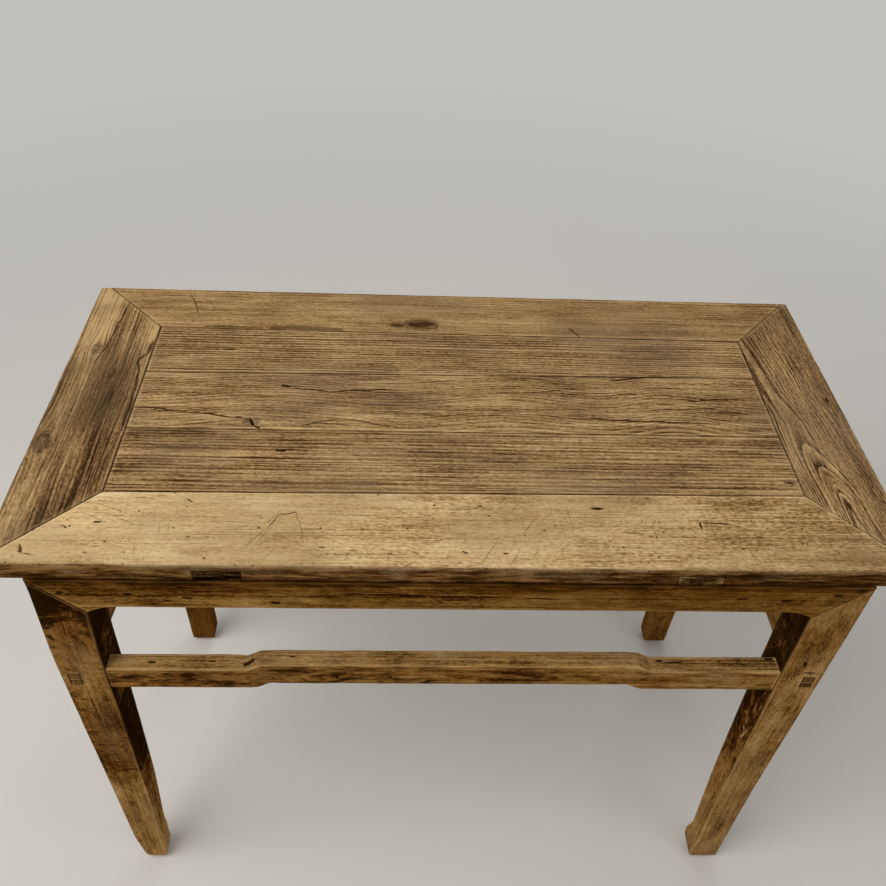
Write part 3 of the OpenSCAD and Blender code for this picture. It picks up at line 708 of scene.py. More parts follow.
# The cracks, scratches, holes and scrapes on the faces of a piece: the two places of both ends, width, depth
# and darkness, which is below nothing for a pale scrape
MARKS = {
    "top_rail_front": {"top": (
        (-231, -229, -209, -201, 0.7, 0.3, 0.5), (-209, -201, -199, -182, 0.9, 0.4, 0.85),
        (-199, -182, -182, -178, 1, 0.5, 0.95), (-181, -176, -168, -221, 0.7, 0.3, 0.5),
        (-302, -160, -296, -164, 1.5, 0.6, 0.8), (267.5, -195, 266.5, -184.5, 1.7, 0.9, 1),
        (266.5, -184.5, 301, -188, 1.3, 0.7, 0.95), (148, -166, 161, -166, 2.8, 1, 1),
        (-462, -228, -457, -239, 2.2, 0.8, 0.85), (-457, -239, -442, -242, 1.3, 0.5, 0.7),
        (-394, -195, -388, -195, 2.6, 0.8, 0.9), (-424, -201, -422, -204, 2.2, 0.6, 0.8),
        (-429, -200, -426, -201, 1.8, 0.6, 0.8), (325, -206, 333, -206, 3, 0.7, 0.7),
        (290, -208, 297, -208, 2.8, 0.6, 0.6), (1, -231, 5, -233, 2.2, 0.7, 0.9),
        (-151, -227, -147, -227, 2, 0.6, 0.8), (45, -233, 49, -233, 2, 0.6, 0.9),
        (-79, -235, -75, -235, 1.8, 0.6, 0.8),
    )},
    "top_rail_back": {"top": (
        (-371, 240, -351, 192, 1.2, 0.7, 0.8), (166, 178, 180, 153, 1.8, 0.8, 0.85),
        (-342, 159.9, -105, 158, 2.6, 1.6, 0.85), (-338, 162.6, -262, 161.8, 5.5, 1.6, 0.5),
        (-250, 164, -150, 163, 10, 2.2, 0.55), (-90, 157.6, 42, 156.8, 1.8, 1.4, 0.8),
        (40, 156.6, 120, 156, 1.2, 1, 0.7), (-84, 174, -66, 176, 4, 1.2, 0.55),
        (-58, 177, -24, 181, 8, 1.6, 0.7), (-19, 180, -22, 168, 2, 0.8, 0.6),
    )},
    "top_rail_left": {"top": (
        (-452, 214, -455, 172, 1.4, 1.2, 0.9), (-455, 172, -457, 130, 1.5, 1.2, 0.9),
        (-457, 130, -461, 98, 1.4, 1, 0.9), (-461, 98, -467, 74, 1.1, 0.8, 0.8),
        (-400, 130, -402, 100, 3.2, 2.4, 0.75), (-402, 100, -411, 86, 2.4, 2, 0.8),
        (-411, 86, -405, 62, 2, 1.6, 0.75), (-405, 62, -402, 24, 2.6, 2, 0.75),
        (-402, 24, -400, -50, 2.4, 1.8, 0.8), (-472, -206, -458, -170, 1.2, 0.6, 0.6),
        (-430, 20, -446, -70, 0.9, 0.6, 0.7), (-420, 60, -428, 0, 0.8, 0.5, 0.6),
    )},
    "top_rail_right": {"top": (
        (445, -146, 449, -160, 3.8, 0.9, 0.8), (487, 35, 486, 26, 3.4, 0.9, 0.85),
        (403, 104, 404, 40, 1.8, 1.4, 0.8), (405, 20, 406, -60, 1.3, 1.2, 0.8),
        (470, 60, 478, -40, 0.8, 0.5, 0.6),
    )},
    "panel_board_front": {"top": (
        (-212, -80, -204, -80, 3.4, 1.4, 1), (-395, -139, -350, -139.6, 1.2, 0.9, 0.85),
        (386, -121, 393, -122, 2.2, 0.9, 0.95), (300, -70, 396, -73, 0.9, 0.8, 0.8),
        (-20, -136, 120, -138, 0.9, 0.6, 0.7),
    )},
    "panel_board_middle": {"top": (
        (-204, 35, -158, 29, 1.8, 1.3, 1), (-158, 29, -78, 37.5, 2, 1.2, 1),
        (-219, 40, -212, 38, 4, 1.4, 0.95), (-268, -20, -252, -27, 1.6, 1.2, 0.9),
        (-251, -25, -246, -37, 3.2, 1.8, 1), (-244, -38, -238, -42, 2.4, 1.2, 0.95),
        (112, 37, 140, 40, 1.2, 0.8, 0.9), (190, 30, 240, 36, 1.2, 0.8, 0.9),
        (206, 62, 250, 69, 1.8, 1, 0.95), (300, 22, 360, 30, 1.6, 0.9, 0.95),
        (236, 3, 330, 11, 1.5, 0.9, 0.9), (150, -14, 330, -20, 1.8, 1.1, 0.95),
        (-372, -12, -330, -14, 1.6, 1, 0.9), (-330, -14, -262, -24, 1.7, 1.2, 0.95),
        (-396, -6, -350, -10, 2, 1.2, 0.85), (-190, -36, -143, -22, 1.6, 0.9, 0.8),
        (-143, -22, -66, -37, 1.6, 0.9, 0.8), (-366, 40, -310, 44, 0.9, 0.7, 0.7),
    )},
    "panel_board_back": {"top": (
        (160, 70.5, 335, 73, 1.5, 1.3, 0.95), (-300, 112, -290, 113, 2.6, 1, 0.85),
        (-366, 96, -398, 95, 1.6, 0.9, 0.85), (60, 120, 240, 118, 0.8, 0.6, 0.6),
    )},
    "batten_right": {"front": ((241, 776, 276, 777, 8, 0.6, 0.85),)},
    "apron_front": {"front": (
        (-134, 717, -96, 716, 2, 1.3, 1), (-98, 716.5, -20, 715.5, 2.4, 1.6, 1),
        (-24, 714.5, 50, 713, 1.8, 1.3, 1), (66, 711.5, 118, 711, 1.5, 1, 0.95),
        (-120, 720, -60, 721, 1, 0.8, 0.9), (-444, 716, -439, 716, 3.6, 2, 1),
        (-371, 713, -365, 713, 3.8, 2, 1), (-307, 707, -300, 707, 3.8, 2, 1),
        (-209, 700, -202, 699, 4.6, 2.2, 1), (-330, 702, -322, 702, 2.4, 1.2, 0.9),
        (323, 714, 331, 714, 3.4, 1.8, 1), (375, 711, 383, 711, 3.8, 2, 1),
        (433, 722, 440, 722, 3.2, 1.8, 0.95), (-364, 724, -240, 727, 1.3, 0.8, 0.85),
        (-10, 728, 120, 726, 1.2, 0.8, 0.8),
    )},
    "leg_front_left": {"front": (
        (-467, 562, -455, 560, 2, 1.2, 0.95), (-456, 246, -450, 244, 1.8, 0.8, 0.8),
        (-465, 494, -452, 492, 1.4, 0.8, 0.85), (-448, 378, -440, 376, 1.6, 0.8, 0.8),
        (-470, 300, -452, 306, 1, 0.5, 0.7), (-468, 330, -440, 326, 1, 0.5, 0.7),
    )},
    "leg_front_right": {
        "front": (
            (448, 562, 466, 560, 2.4, 1.6, 1), (443, 584, 445, 576, 4.4, 1.4, 0.95),
            (452, 590, 461, 588, 1.6, 0.8, 0.8), (437, 470, 455, 474, 1, 0.5, 0.7),
            (440, 360, 468, 352, 1, 0.5, 0.6),
        ),
        "inner": ((-218, 400, -213, 370, 2.4, 0.5, -0.9), (-208, 398, -211, 384, 1.8, 0.4, -0.8)),
    },
    "stretcher_front": {
        "front": (
            (-143, 551, -142, 541, 1.6, 1, 0.95), (-141, 541, -108, 541, 2.4, 1.1, 0.95),
            (-112, 541, -30, 543, 1.2, 0.9, 0.85), (-256, 590, -246, 570, 3.6, 2, 0.95),
            (374, 592, 376, 578, 1, 0.6, 0.8),
        ),
        "top": (
            (-372, -216, -366, -216, 3, 1.2, 0.95), (-300, -214, -294, -214, 2.6, 1.2, 0.95),
            (-200, -213, -194, -213, 2.6, 1.2, 0.95), (-256, -218, -248, -214, 5, 2.2, 0.95),
            (262, -210, 270, -210, 3, 1.2, 0.95), (276, -212, 300, -212, 1.6, 0.9, 0.9),
            (268, -221, 274, -221, 2.6, 1, 0.9), (406, -206, 414, -206, 4, 1.6, 0.95),
            (371, -203, 374, -222, 1, 0.6, 0.85),
        ),
    },
}
for node, marks in MARKS.items():
    WOOD[node]["marks"] = marks


# Materials

def paint(*shown):
    """A colour given as a screen shows it, in the linear values that shaders take."""
    shares = [v / 255 for v in shown]
    return (*[v / 12.92 if v <= 0.04045 else ((v + 0.055) / 1.055) ** 2.4 for v in shares], 1.0)


class Shader:
    """Short words for building the nodes of a material or a world."""

    def __init__(self, owner):
        owner.use_nodes = True
        self.nodes = owner.node_tree.nodes
        self.links = owner.node_tree.links
        self.nodes.clear()

    def feed(self, socket, value):
        if isinstance(value, bpy.types.NodeSocket):
            self.links.new(value, socket)
        else:
            socket.default_value = value

    def add(self, kind, inputs, **settings):
        node = self.nodes.new("ShaderNode" + kind)
        for name, value in settings.items():
            setattr(node, name, value)
        for name, value in inputs.items():
            self.feed(node.inputs[name], value)
        return node

    def math(self, operation, *values, clamp=False):
        return self.add("Math", dict(enumerate(values)), operation=operation, use_clamp=clamp).outputs[0]

    def times(self, *values, clamp=False):
        """Two values multiplied, and a third added to them."""
        return self.math("MULTIPLY_ADD" if len(values) == 3 else "MULTIPLY", *values, clamp=clamp)

    def centred(self, field):
        """A noise field about nothing."""
        return self.math("SUBTRACT", field, 0.5)

    def swung(self, tone, *fields):
        """A tone changed by noise fields, each with its strength."""
        for field, strength in fields:
            change = self.times(self.centred(field), 2.0 * strength)
            tone = self.math("ADD", tone, change)
        return tone

    def attribute(self, name, output="Fac"):
        return self.add("Attribute", {}, attribute_name=name).outputs[output]

    def scaled(self, vector, scale):
        return self.add("VectorMath", {0: vector, 1: scale}, operation="MULTIPLY").outputs[0]

    def noise(self, vector, scale, detail=3.0, roughness=0.5, distortion=0.0):
        """Noise with its own scale along each axis."""
        return self.add("TexNoise", {"Vector": self.scaled(vector, scale), "Scale": 1.0, "Detail": detail,
                                     "Roughness": roughness, "Distortion": distortion}).outputs["Fac"]

    def span(self, value, low, high, to_low=0.0, to_high=1.0):
        """Value moved from one span to another, eased at both ends."""
        return self.add("MapRange", {"Value": value, "From Min": low, "From Max": high, "To Min": to_low,
                                     "To Max": to_high}, interpolation_type="SMOOTHSTEP").outputs[0]

    def ramp(self, value, *stops):
        node = self.add("ValToRGB", {"Fac": value})
        elements = node.color_ramp.elements
        elements[0].position, elements[0].color = stops[0]
        elements[1].position, elements[1].color = stops[-1]
        for place, colour in stops[1:-1]:
            elements.new(place).color = colour
        return node.outputs["Color"]

    def mix(self, share, below, above, blend="MIX"):
        node = self.add("Mix", {}, data_type="RGBA", blend_type=blend, clamp_factor=True)
        for number, value in ((0, share), (6, below), (7, above)):
            self.feed(node.inputs[number], value)
        return node.outputs[2]


# How the elm of each piece looks, with colours as a screen shows them.
# ring, streak, band, blotch and grit: how strongly the growth rings, fine streaks, wider bands, patches and
# small grains change the tone; check, speck, scratch and smudge: how much of each kind of wear and dirt.
# tint, tinted: a greyer tone and how much of it; mottle, swirl: how often and how wildly the old finish is
# broken; rough: how matt it is; knot: how dark a knot is; rubbed: how bare the arrises are; crust: the
# colours of weathered edges, also laid under them as painted shade.
LOOK = dict(
    ring=0.5, streak=0.6, band=0.35, blotch=0.4, check=0.6, speck=0.5, scratch=0.35, smudge=0.4, grit=0.5,
    tint=(112, 96, 74), tinted=0.35, mottle=(24, 24, 60), swirl=0.9, rough=0.78, knot=0.15, rubbed=0.65,
    crust=((20, 9, 2), (72, 45, 18), (148, 112, 66)),
)
FRONT_LEG_LOOK = dict(ring=0.14, streak=0.35, blotch=0.8, tinted=0.45, rough=0.62, scratch=0.7, rubbed=1.0)
BACK_LEG_LOOK = dict(ring=0.15, blotch=0.8, mottle=(30, 30, 40), rough=0.65)


def look(dark, mid, light, **facts):
    return dict(LOOK, dark=dark, mid=mid, light=light, **facts)


# A node takes the look whose name is the longest that its own name starts with
LOOKS = {
    "top_rail_front": look(
        (124, 90, 48), (192, 160, 113), (220, 193, 148), ring=0.12, streak=0.42, band=0.2, blotch=0.48,
        check=0.5, speck=1.6, scratch=0.9, smudge=0.8, grit=0.6, tint=(158, 130, 92), tinted=0.5,
        crust=((48, 28, 10), (94, 62, 28), (146, 110, 64)),
    ),
    "top_rail_back": look(
        (94, 65, 34), (150, 119, 79), (186, 155, 110), ring=0.25, streak=0.5, smudge=0.5, scratch=0.5,
        knot=0.6,
    ),
    "top_rail_left": look(
        (62, 42, 22), (122, 94, 60), (172, 142, 100), band=0.4, blotch=0.6, tint=(98, 79, 54), tinted=0.5,
        smudge=0.5, check=0.8,
    ),
    "top_rail_right": look(
        (66, 44, 23), (140, 110, 73), (186, 155, 110), ring=0.6, streak=0.5, band=0.3, check=0.7,
    ),
    "panel_board": look(
        (70, 46, 23), (143, 112, 74), (190, 159, 114), ring=0.58, streak=0.55, band=0.3, check=0.65,
    ),
    "panel_board_middle": look((66, 43, 21), (146, 115, 76), (190, 159, 113), check=0.9, smudge=0.6),
    "apron": look(
        (56, 28, 4), (134, 95, 42), (172, 134, 76), ring=0.2, streak=0.5, blotch=0.8, tint=(120, 78, 28),
        tinted=0.5, mottle=(10, 10, 44), rough=0.6, smudge=1.0, rubbed=0.85,
    ),
    "leg_front_left": look(
        (84, 52, 18), (150, 111, 60), (186, 150, 100), mottle=(26, 26, 44), tint=(158, 124, 84), swirl=1.6,
        **FRONT_LEG_LOOK,
    ),
    "leg_front_right": look(
        (86, 54, 20), (154, 115, 64), (192, 156, 104), mottle=(40, 40, 20), tint=(150, 117, 78), swirl=2.2,
        **FRONT_LEG_LOOK,
    ),
    "leg_back": look((50, 26, 3), (92, 57, 16), (118, 79, 30), tint=(100, 68, 28), **BACK_LEG_LOOK),
    "leg_back_right": look((72, 42, 10), (128, 88, 38), (154, 113, 60), tint=(112, 78, 36), **BACK_LEG_LOOK),
    "stretcher": look(
        (84, 54, 18), (168, 128, 74), (204, 167, 112), ring=0.22, streak=0.5, blotch=0.6,
        mottle=(16, 44, 44), rough=0.62, smudge=0.9, scratch=0.5, rubbed=0.95,
    ),
    "batten": look(
        (60, 40, 20), (102, 76, 48), (140, 112, 76), ring=0.4,
        crust=((30, 16, 6), (104, 72, 36), (190, 158, 108)),
    ),
    "batten_left": look(
        (80, 58, 36), (122, 96, 66), (150, 124, 90), crust=((8, 4, 1), (32, 19, 8), (112, 82, 46)),
    ),
    "waist": look((44, 22, 6), (76, 46, 18), (104, 70, 34), ring=0.3, rough=0.7),
}

THIN_RESIDUE, DARK_RESIDUE = paint(66, 38, 10), paint(24, 11, 2)
DIRT, KNOT_BROWN = paint(52, 31, 11), paint(60, 40, 22)
MARK_BROWN, MARK_PALE = paint(42, 24, 9), paint(196, 166, 120)
# The colour that lies below these two is multiplied by them
OLD_VARNISH, SMUDGED = (0.62, 0.45, 0.22, 1.0), (0.58, 0.46, 0.33, 1.0)
# Where the three colours of the weathered edges lie in their noise
CRUST_STOPS = (0.40, 0.52, 0.64)
# The tone across a ring: a dark line of pores, then early wood that rises to a pale ridge of late wood
RING_PROFILE = ((0.0, 0.12), (0.08, 0.16), (0.3, 0.4), (0.52, 0.56), (0.78, 0.76), (0.94, 0.76), (1.0, 0.12))
RING_MEAN = 0.52
# How much more strongly the rings show in a knot
KNOT_RINGS = 0.7
# Directions of the fine scratches, in degrees from the grain
SCRATCH_TURNS = (24, -58, 83)
BUMP_HEIGHT = 0.0009


def shared_fields(s):
    """The places and the noise that more than one layer of the wood uses."""
    place = s.add("TexCoord", {}).outputs["Object"]
    own = s.attribute("grain_place", "Vector")
    return SimpleNamespace(
        place=place, own=own,
        streaks=s.noise(own, (14, 520, 520), 5.0, 0.7),
        bands=s.noise(own, (3.5, 110, 110), 3.0, 0.55),
        fibres=s.noise(own, (90, 1100, 1100), 3.0, 0.65),
        grit=s.noise(own, (170, 330, 330), 4.0, 0.7),
        patches=s.noise(own, (10, 26, 26), 6.0, 0.68),
    )


def growth_rings(s, streaks):
    """The tone of each ring about nothing, and how much of it is early wood."""
    ring = s.times(s.centred(streaks), 0.3, s.attribute("grain_ring"))
    phase = s.math("FRACT", ring)
    contrast = s.add("TexWhiteNoise", {"W": s.math("FLOOR", ring)}, noise_dimensions="1D").outputs["Value"]
    profile = s.ramp(phase, *[(at, (tone, tone, tone, 1)) for at, tone in RING_PROFILE])
    tone = s.times(s.math("SUBTRACT", profile, RING_MEAN), s.times(contrast, 1.3, 0.35))
    return s.times(tone, s.span(streaks, 0.3, 0.7, 1.5, 0.5)), s.span(phase, 0.5, 0.1)


def bare_wood(s, f, facts):
    """The wood's colour from its rings, streaks and patches, its tone, and how much of it is early wood."""
    ring_tone, early = growth_rings(s, f.streaks)
    tone = s.times(ring_tone, s.times(s.attribute("knot"), KNOT_RINGS, facts["ring"]))
    tone = s.swung(s.math("ADD", tone, 0.5), (f.streaks, facts["streak"]), (f.bands, facts["band"]),
                   (f.patches, facts["blotch"]), (f.fibres, 0.3), (f.grit, facts["grit"]))
    tone = s.math("ADD", tone, s.attribute("tone"))
    tone = s.math("MAXIMUM", s.math("MINIMUM", tone, 1.0), 0.0)
    darkest, palest = [0.7 * v for v in facts["dark"]], [min(255, 1.1 * v) for v in facts["light"]]
    colour = s.ramp(tone, (0.0, paint(*darkest)), (0.18, paint(*facts["dark"])), (0.5, paint(*facts["mid"])),
                    (0.85, paint(*facts["light"])), (1.0, paint(*palest)))
    greyer = s.span(s.noise(f.place, (6, 9, 9)), 0.42, 0.66, 0.0, facts["tinted"])
    return s.mix(greyer, colour, paint(*facts["tint"])), tone, early


def scratches(s, own, turn):
    """Straight fine scratches, turned from the grain by an angle in degrees."""
    angle = math.radians(turn)
    turned = s.add("VectorRotate", {"Vector": own, "Angle": angle}, rotation_type="Z_AXIS").outputs[0]
    field = s.noise(turned, (16, 760, 760), 1.0, 0.4)
    patch = s.noise(turned, (9, 11, 9), 2.0)
    return s.times(s.span(field, 0.68, 0.76), s.span(patch, 0.50, 0.62))


def dirt(s, f, facts, colour, early):
    """Soft smudges, dark checks along the grain, specks and scratches."""
    smudge = s.span(s.noise(f.own, (16, 42, 42), 6.0, 0.7, 0.4), 0.53, 0.70, 0.0, 0.75 * facts["smudge"])
    colour = s.mix(s.times(smudge, s.span(f.streaks, 0.38, 0.6, 0.35, 1.0)), colour, SMUDGED, "MULTIPLY")
    check = s.times(s.span(s.noise(f.own, (5, 760, 760), 2.0), 0.62, 0.72), s.times(early, 0.65, 0.35))
    colour = s.mix(s.times(check, 0.8 * facts["check"]), colour, DIRT)
    cells = s.add("TexVoronoi", {"Vector": s.scaled(f.own, (120, 140, 140)), "Scale": 1.0, "Randomness": 1.0})
    size = s.times(s.span(cells.outputs["Color"], 1 - 0.36 * facts["speck"], 1.0), 0.14 * facts["speck"])
    speck = s.math("LESS_THAN", cells.outputs["Distance"], size)
    scratch = 0.0
    for turn in SCRATCH_TURNS:
        scratch = s.math("MAXIMUM", scratch, scratches(s, f.own, turn))
    scratch = s.times(scratch, facts["scratch"])
    colour = s.mix(s.times(s.math("MAXIMUM", speck, scratch), 0.75), colour, DIRT)
    return colour, check, speck, scratch


def old_finish(s, f, facts, colour):
    """What is left of the old dark finish, with painted shade where it thickens under the overhang, then wear
    on the arrises.
    """
    stain_and_shade = s.attribute("stain_and_shade")
    mottle = s.noise(f.place, facts["mottle"], 8.0, 0.68, facts["swirl"])
    fine_mottle = s.noise(f.place, [4.2 * v for v in facts["mottle"]], 4.0, 0.6)
    mottle = s.times(s.centred(fine_mottle), 0.35, mottle)
    varnish = s.span(s.times(stain_and_shade, 0.9, s.centred(mottle)), 0.02, 0.5)
    varnish = s.times(varnish, s.span(stain_and_shade, 0.0, 0.1, 0.0, 0.8))
    colour = s.mix(varnish, colour, OLD_VARNISH, "MULTIPLY")
    over = s.math("SUBTRACT", mottle, s.times(stain_and_shade, -0.62, 0.84))
    residue = s.times(s.span(over, -0.07, 0.12), s.span(stain_and_shade, 0.02, 0.12))
    residue_colour = s.ramp(over, (0.0, THIN_RESIDUE), (0.2, DARK_RESIDUE))
    colour = s.mix(s.times(residue, 0.93), colour, residue_colour)
    worn = s.times(s.attribute("worn"), s.span(f.streaks, 0.3, 0.6, 0.35, 1.0))
    bare = [min(255, v * 1.06) for v in facts["light"]]
    wear = s.mix(s.span(stain_and_shade, 0.0, 0.7), paint(*bare), paint(*facts["mid"]))
    return s.mix(s.times(worn, facts["rubbed"]), colour, wear), residue


def edges_and_marks(s, f, facts, colour):
    """The grey and brown of weathered outer edges and painted shade under them, then knots, dirt in the
    joints, cracks and holes.
    """
    crust = s.swung(s.noise(f.place, (20, 70, 170), 6.0, 0.72), (f.streaks, 0.14), (f.grit, 0.12))
    crust = s.times(s.attribute("tone"), 0.2, crust)
    crust_colour = s.ramp(crust, *[(at, paint(*tone)) for at, tone in zip(CRUST_STOPS, facts["crust"])])
    # Crust of the outer edges, and painted shade under them
    colour = s.mix(s.times(s.attribute("weathered_and_shade"), 1.05, clamp=True), colour, crust_colour)
    colour = s.mix(s.times(s.attribute("knot"), facts["knot"]), colour, KNOT_BROWN)
    grime = s.times(s.attribute("grime"), s.span(f.streaks, 0.25, 0.6, 0.75, 1.0))
    colour = s.mix(s.times(grime, 0.95), colour, MARK_BROWN)
    line = s.span(s.math("ABSOLUTE", s.attribute("mark_side")), 1.35, 0.7)
    mark = s.times(line, s.attribute("mark_dark"))
    colour = s.mix(mark, colour, MARK_BROWN)
    return s.mix(s.times(mark, -1.0), colour, MARK_PALE), mark


def elm(node):
    """Old elm: rings and fibres give its tone, then come dirt, wear, the old finish and the marks."""
    fitting = [name for name in LOOKS if node.startswith(name)]
    facts = LOOKS[max(fitting, key=len)]
    material = bpy.data.materials.new("elm_" + node)
    s = Shader(material)
    f = shared_fields(s)
    colour, tone, early = bare_wood(s, f, facts)
    colour, check, speck, scratch = dirt(s, f, facts, colour, early)
    colour, residue = old_finish(s, f, facts, colour)
    colour, mark = edges_and_marks(s, f, facts, colour)
    rough = s.times(residue, -0.14, s.times(tone, 0.12, facts["rough"] - 0.04))
    height = s.times(f.fibres, 0.35, s.times(f.streaks, 0.8))
    for field, strength in ((early, -0.6), (check, -0.8), (speck, -0.9), (scratch, -0.8), (mark, -1.2)):
        height = s.times(field, strength, height)
    bump = s.add("Bump", {"Height": height, "Strength": 0.7, "Distance": BUMP_HEIGHT}).outputs[0]
    shader = s.add("BsdfPrincipled", {"Base Color": colour, "Roughness": rough, "Normal": bump,
                                      "Specular IOR Level": 0.0})
    s.add("OutputMaterial", {"Surface": shader.outputs[0]}).is_active_output = True
    return material


# Building the pieces

# How much lighter the wood is worn beside a joint line than at an arris
RIM = 1.2


def facing(lean, least=0.6):
    """How much a surface looks one way, from its normal's share in that direction."""
    return ease(lean * 2 - least)


def stain_and_shade_of(points, normals, free, facts):
    """How thickly the remains of the old dark finish lie, by height and by side. Its rise at the top of the
    aprons is painted shade, and on the legs' inner faces partly so.
    """
    x, z = points[:, X], points[:, Z]
    stain_and_shade = np.interp(z, *zip(*facts["stain_and_shade"]))
    # Faces that look to the middle get more, rising towards the top: real finish and painted shade under the
    # apron
    stain_and_shade = stain_and_shade + facts["inner_stain_and_shade"] * facing(-np.sign(x) * normals[:, X]) * rise(z, 60, 440)
    stain_and_shade = stain_and_shade + facts["outer_stain"] * rise(np.abs(x), 444, 470) * rise(z, 200, 400)
    stain_and_shade = stain_and_shade + facts["edge_stain"] * np.exp(-(free / 11) ** 2) * rise(z, 300, 420)
    stain_and_shade = stain_and_shade + np.interp(points[:, facts["along"]], *zip(*facts["front_stain"])) * facing(-normals[:, Y])
    return np.clip(stain_and_shade + 0.1 * rough_noise(facts["seed"] + 8, 2, *(points.T / 60)) * (stain_and_shade > 0), 0, 1.2)


def weathering_and_shade_of(points, normals, facts):
    """The outer edges of the top have gone grey, and are near black along their underside as painted shade
    under the overhang.
    """
    x, y, z = points.T
    outwards = np.maximum(np.abs(x) - TOP_HALF_X, np.abs(y) - TOP_HALF_Y)
    ragged = 2.2 * rough_noise(facts["seed"] + 10, 3, x / 19, y / 19)
    on_edge = rise(outwards, -3.5, -1) * rise(TABLE_TOP - 2 + ragged - z, 0, 4.5)
    patchy = 0.95 + 0.3 * rough_noise(facts["seed"] + 9, 2, x / 34, y / 34)
    # Crust laid on more fully low on the edge and on faces that look down: painted shade under the overhang
    low_down = rise(TABLE_TOP - z, 18, 27)
    grey_and_shade = on_edge * (patchy + 0.3 * low_down) + 0.6 * facing(-normals[:, Z], 0.4)
    return np.clip(facts["weathered_and_shade"] * grey_and_shade, 0, 1.15)


def worn_place(node, points, normals, arrises, tree):
    """Where each point of a piece lies once it is worn, and what each carries for the material."""
    facts = WOOD[node]
    seed = facts["seed"]
    along, across = points[:, facts["along"]], points[:, facts["across"]]
    opened = np.array([is_open(tree, p, n) for p, n in zip(points, normals)], float)
    rings, own, knot = grain_of(points, facts)
    shift, free, joint = joint_lines_and_arrises(points, arrises, facts)
    mark_side, mark_dark, mark_depth = marks_on(points, normals, facts)
    near_arris = ease(np.minimum(free, joint) / 2.5)
    side_grain = 1 - np.abs(normals[:, facts["along"]])
    relief = facts["relief"] * washed_out(rings, seed) * side_grain * (0.3 + 0.7 * near_arris)
    relief *= 0.7 + 0.5 * noise(seed + 5, *(points.T / 130))
    uneven = 0.35 * (1 + rough_noise(seed + 6, 2, *(points.T / 70))) * near_arris
    depth = (relief + uneven + dents_on(points, facts, opened)) * opened + mark_depth
    rubbed = np.exp(-(free / 2.6) ** 2) + RIM * np.exp(-((joint - GROOVE_HALF) / 0.9) ** 2)
    carried = {
        "grain_ring": rings,
        "tone": np.interp(along, *zip(*facts["tones"])) + np.interp(across, *zip(*facts["tones_across"])),
        "stain_and_shade": stain_and_shade_of(points, normals, free, facts),
        "grime": np.exp(-(joint / 1.1) ** 2) * (0.65 + 0.35 * noise(5, *(points.T / 17))),
        "worn": rubbed * (0.6 + 0.4 * noise(6, *(points.T / 23))) * opened,
        "weathered_and_shade": weathering_and_shade_of(points, normals, facts),
        "mark_side": mark_side,
        "mark_dark": mark_dark,
        "knot": knot,
    }
    return settle(points + shift - depth[:, None] * normals), own, carried


def make_piece(node):
    tree = neighbours_tree(node)
    points, cells, arrises = lattice_of(node, WOOD[node], tree)
    mesh = bpy.data.meshes.new(node + "_worn")
    mesh.from_pydata(points, [], cells)
    normals = np.zeros(points.size)
    mesh.vertices.foreach_get("normal", normals)
    places, own, carried = worn_place(node, points, normals.reshape(-1, 3), arrises, tree)
    mesh.vertices.foreach_set("co", (places * MM).ravel())
    for name, values in carried.items():
        mesh.attributes.new(name, "FLOAT", "POINT").data.foreach_set("value", values.astype(np.float32))
    grain_place = mesh.attributes.new("grain_place", "FLOAT_VECTOR", "POINT")
    grain_place.data.foreach_set("vector", (own * MM).astype(np.float32).ravel())
    mesh.shade_smooth()
    mesh.set_sharp_from_angle(angle=SHARP)
    mesh.update()
    piece = bpy.data.objects.new("worn_" + node, mesh)
    bpy.context.scene.collection.objects.link(piece)
    mesh.materials.append(elm(node))
    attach(piece, "root")
    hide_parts(node)


for node in SOLIDS:
    make_piece(node)
for solid in SOLIDS.values():
    solid.free()


# Stage, light and camera, in metres

BACKDROP = (0.53, 0.52, 0.50, 1.0)
FLOOR_HALF = 14.0
FLOOR_TONES = (paint(205, 203, 198), paint(211, 209, 204))
# The floor turns into the backdrop between these distances from the table
FLOOR_FADES = (1.0, 3.2)
WORLD_TINT, WORLD_LIGHT = (1.0, 0.985, 0.96, 1.0), 0.36
# Softboxes: place, size and power
SOFTBOXES = {
    "key": ((-1.5, -0.9, 2.8), 2.0, 62.0),
    "fill": ((2.4, -1.8, 2.0), 2.2, 12.0),
    "back": ((0.5, 2.4, 2.6), 1.8, 18.0),
}
SOFTBOX_TINT = (1.0, 0.98, 0.95)
LIT_PLACE = (0, 0, 0.55)
# The photograph's camera, found from the corners, seams and legs of the table
CAMERA_PLACE = (-0.0656, -0.8370, 1.5241)
CAMERA_PITCH, CAMERA_YAW, CAMERA_ROLL = 0.7536, -0.0627, 0.0596
CAMERA_LENS_PX, PHOTO_PX, SENSOR = 886.27, 886, 36.0
CAMERA_NEAR = 0.05


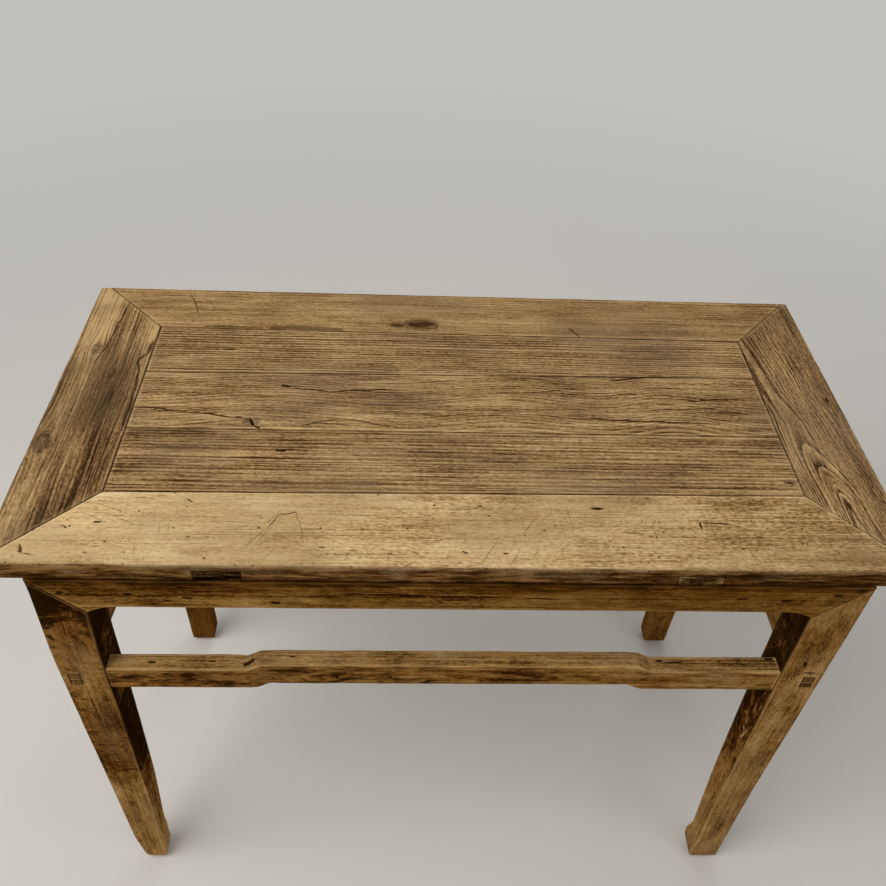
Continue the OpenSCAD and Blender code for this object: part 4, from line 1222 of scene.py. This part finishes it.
def make_floor():
    mesh = bpy.data.meshes.new("floor")
    corners = [(x * FLOOR_HALF, y * FLOOR_HALF, 0) for x, y in ((-1, -1), (1, -1), (1, 1), (-1, 1))]
    mesh.from_pydata(corners, [], [(0, 1, 2, 3)])
    floor = bpy.data.objects.new("floor", mesh)
    bpy.context.scene.collection.objects.link(floor)
    material = bpy.data.materials.new("floor_paint")
    s = Shader(material)
    place = s.add("TexCoord", {}).outputs["Object"]
    colour = s.mix(s.noise(place, (1.6, 1.6, 1.6)), *FLOOR_TONES)
    matt = s.add("BsdfPrincipled", {"Base Color": colour, "Roughness": 0.8, "Specular IOR Level": 0.2})
    far = s.add("Emission", {"Color": BACKDROP, "Strength": 1.0})
    distance = s.add("VectorMath", {0: place}, operation="LENGTH").outputs["Value"]
    rays = s.add("LightPath", {}).outputs
    seen = s.math("MAXIMUM", rays["Is Camera Ray"], rays["Is Glossy Ray"])
    share = s.times(s.span(distance, *FLOOR_FADES), seen)
    both = s.add("MixShader", {0: share, 1: matt.outputs[0], 2: far.outputs[0]})
    s.add("OutputMaterial", {"Surface": both.outputs[0]})
    mesh.materials.append(material)


def make_world():
    """Soft light from all round, and the pale backdrop where the camera sees past the floor."""
    world = bpy.data.worlds.new("studio")
    bpy.context.scene.world = world
    s = Shader(world)
    rays = s.add("LightPath", {}).outputs
    bent = s.math("MAXIMUM", rays["Is Glossy Ray"], rays["Is Transmission Ray"])
    seen = s.math("MAXIMUM", rays["Is Camera Ray"], bent)
    light = s.add("Background", {"Color": WORLD_TINT, "Strength": WORLD_LIGHT})
    backdrop = s.add("Background", {"Color": BACKDROP, "Strength": 1.0})
    both = s.add("MixShader", {0: seen, 1: light.outputs[0], 2: backdrop.outputs[0]})
    s.add("OutputWorld", {"Surface": both.outputs[0]})


def make_lights():
    for name, (place, size, power) in SOFTBOXES.items():
        light = bpy.data.lights.new(name, "AREA")
        light.shape = "SQUARE"
        light.size = size
        light.energy = power
        light.color = SOFTBOX_TINT
        lamp = bpy.data.objects.new(name, light)
        lamp.location = place
        lamp.rotation_euler = (Vector(LIT_PLACE) - Vector(place)).to_track_quat("-Z", "Y").to_euler()
        bpy.context.scene.collection.objects.link(lamp)


def make_camera():
    upright = Matrix.Rotation(math.pi / 2 - CAMERA_PITCH, 3, "X")
    turn = Matrix.Rotation(CAMERA_YAW, 3, "Z") @ upright @ Matrix.Rotation(CAMERA_ROLL, 3, "Z")
    data = bpy.data.cameras.new("camera")
    data.sensor_width = SENSOR
    data.sensor_fit = "HORIZONTAL"
    data.lens = CAMERA_LENS_PX / PHOTO_PX * SENSOR
    data.clip_start = CAMERA_NEAR
    camera = bpy.data.objects.new("camera", data)
    camera.matrix_world = Matrix.Translation(CAMERA_PLACE) @ turn.to_4x4()
    bpy.context.scene.collection.objects.link(camera)
    bpy.context.scene.camera = camera


make_floor()
make_world()
make_lights()
make_camera()
bpy.context.scene.view_settings.view_transform = "Standard"
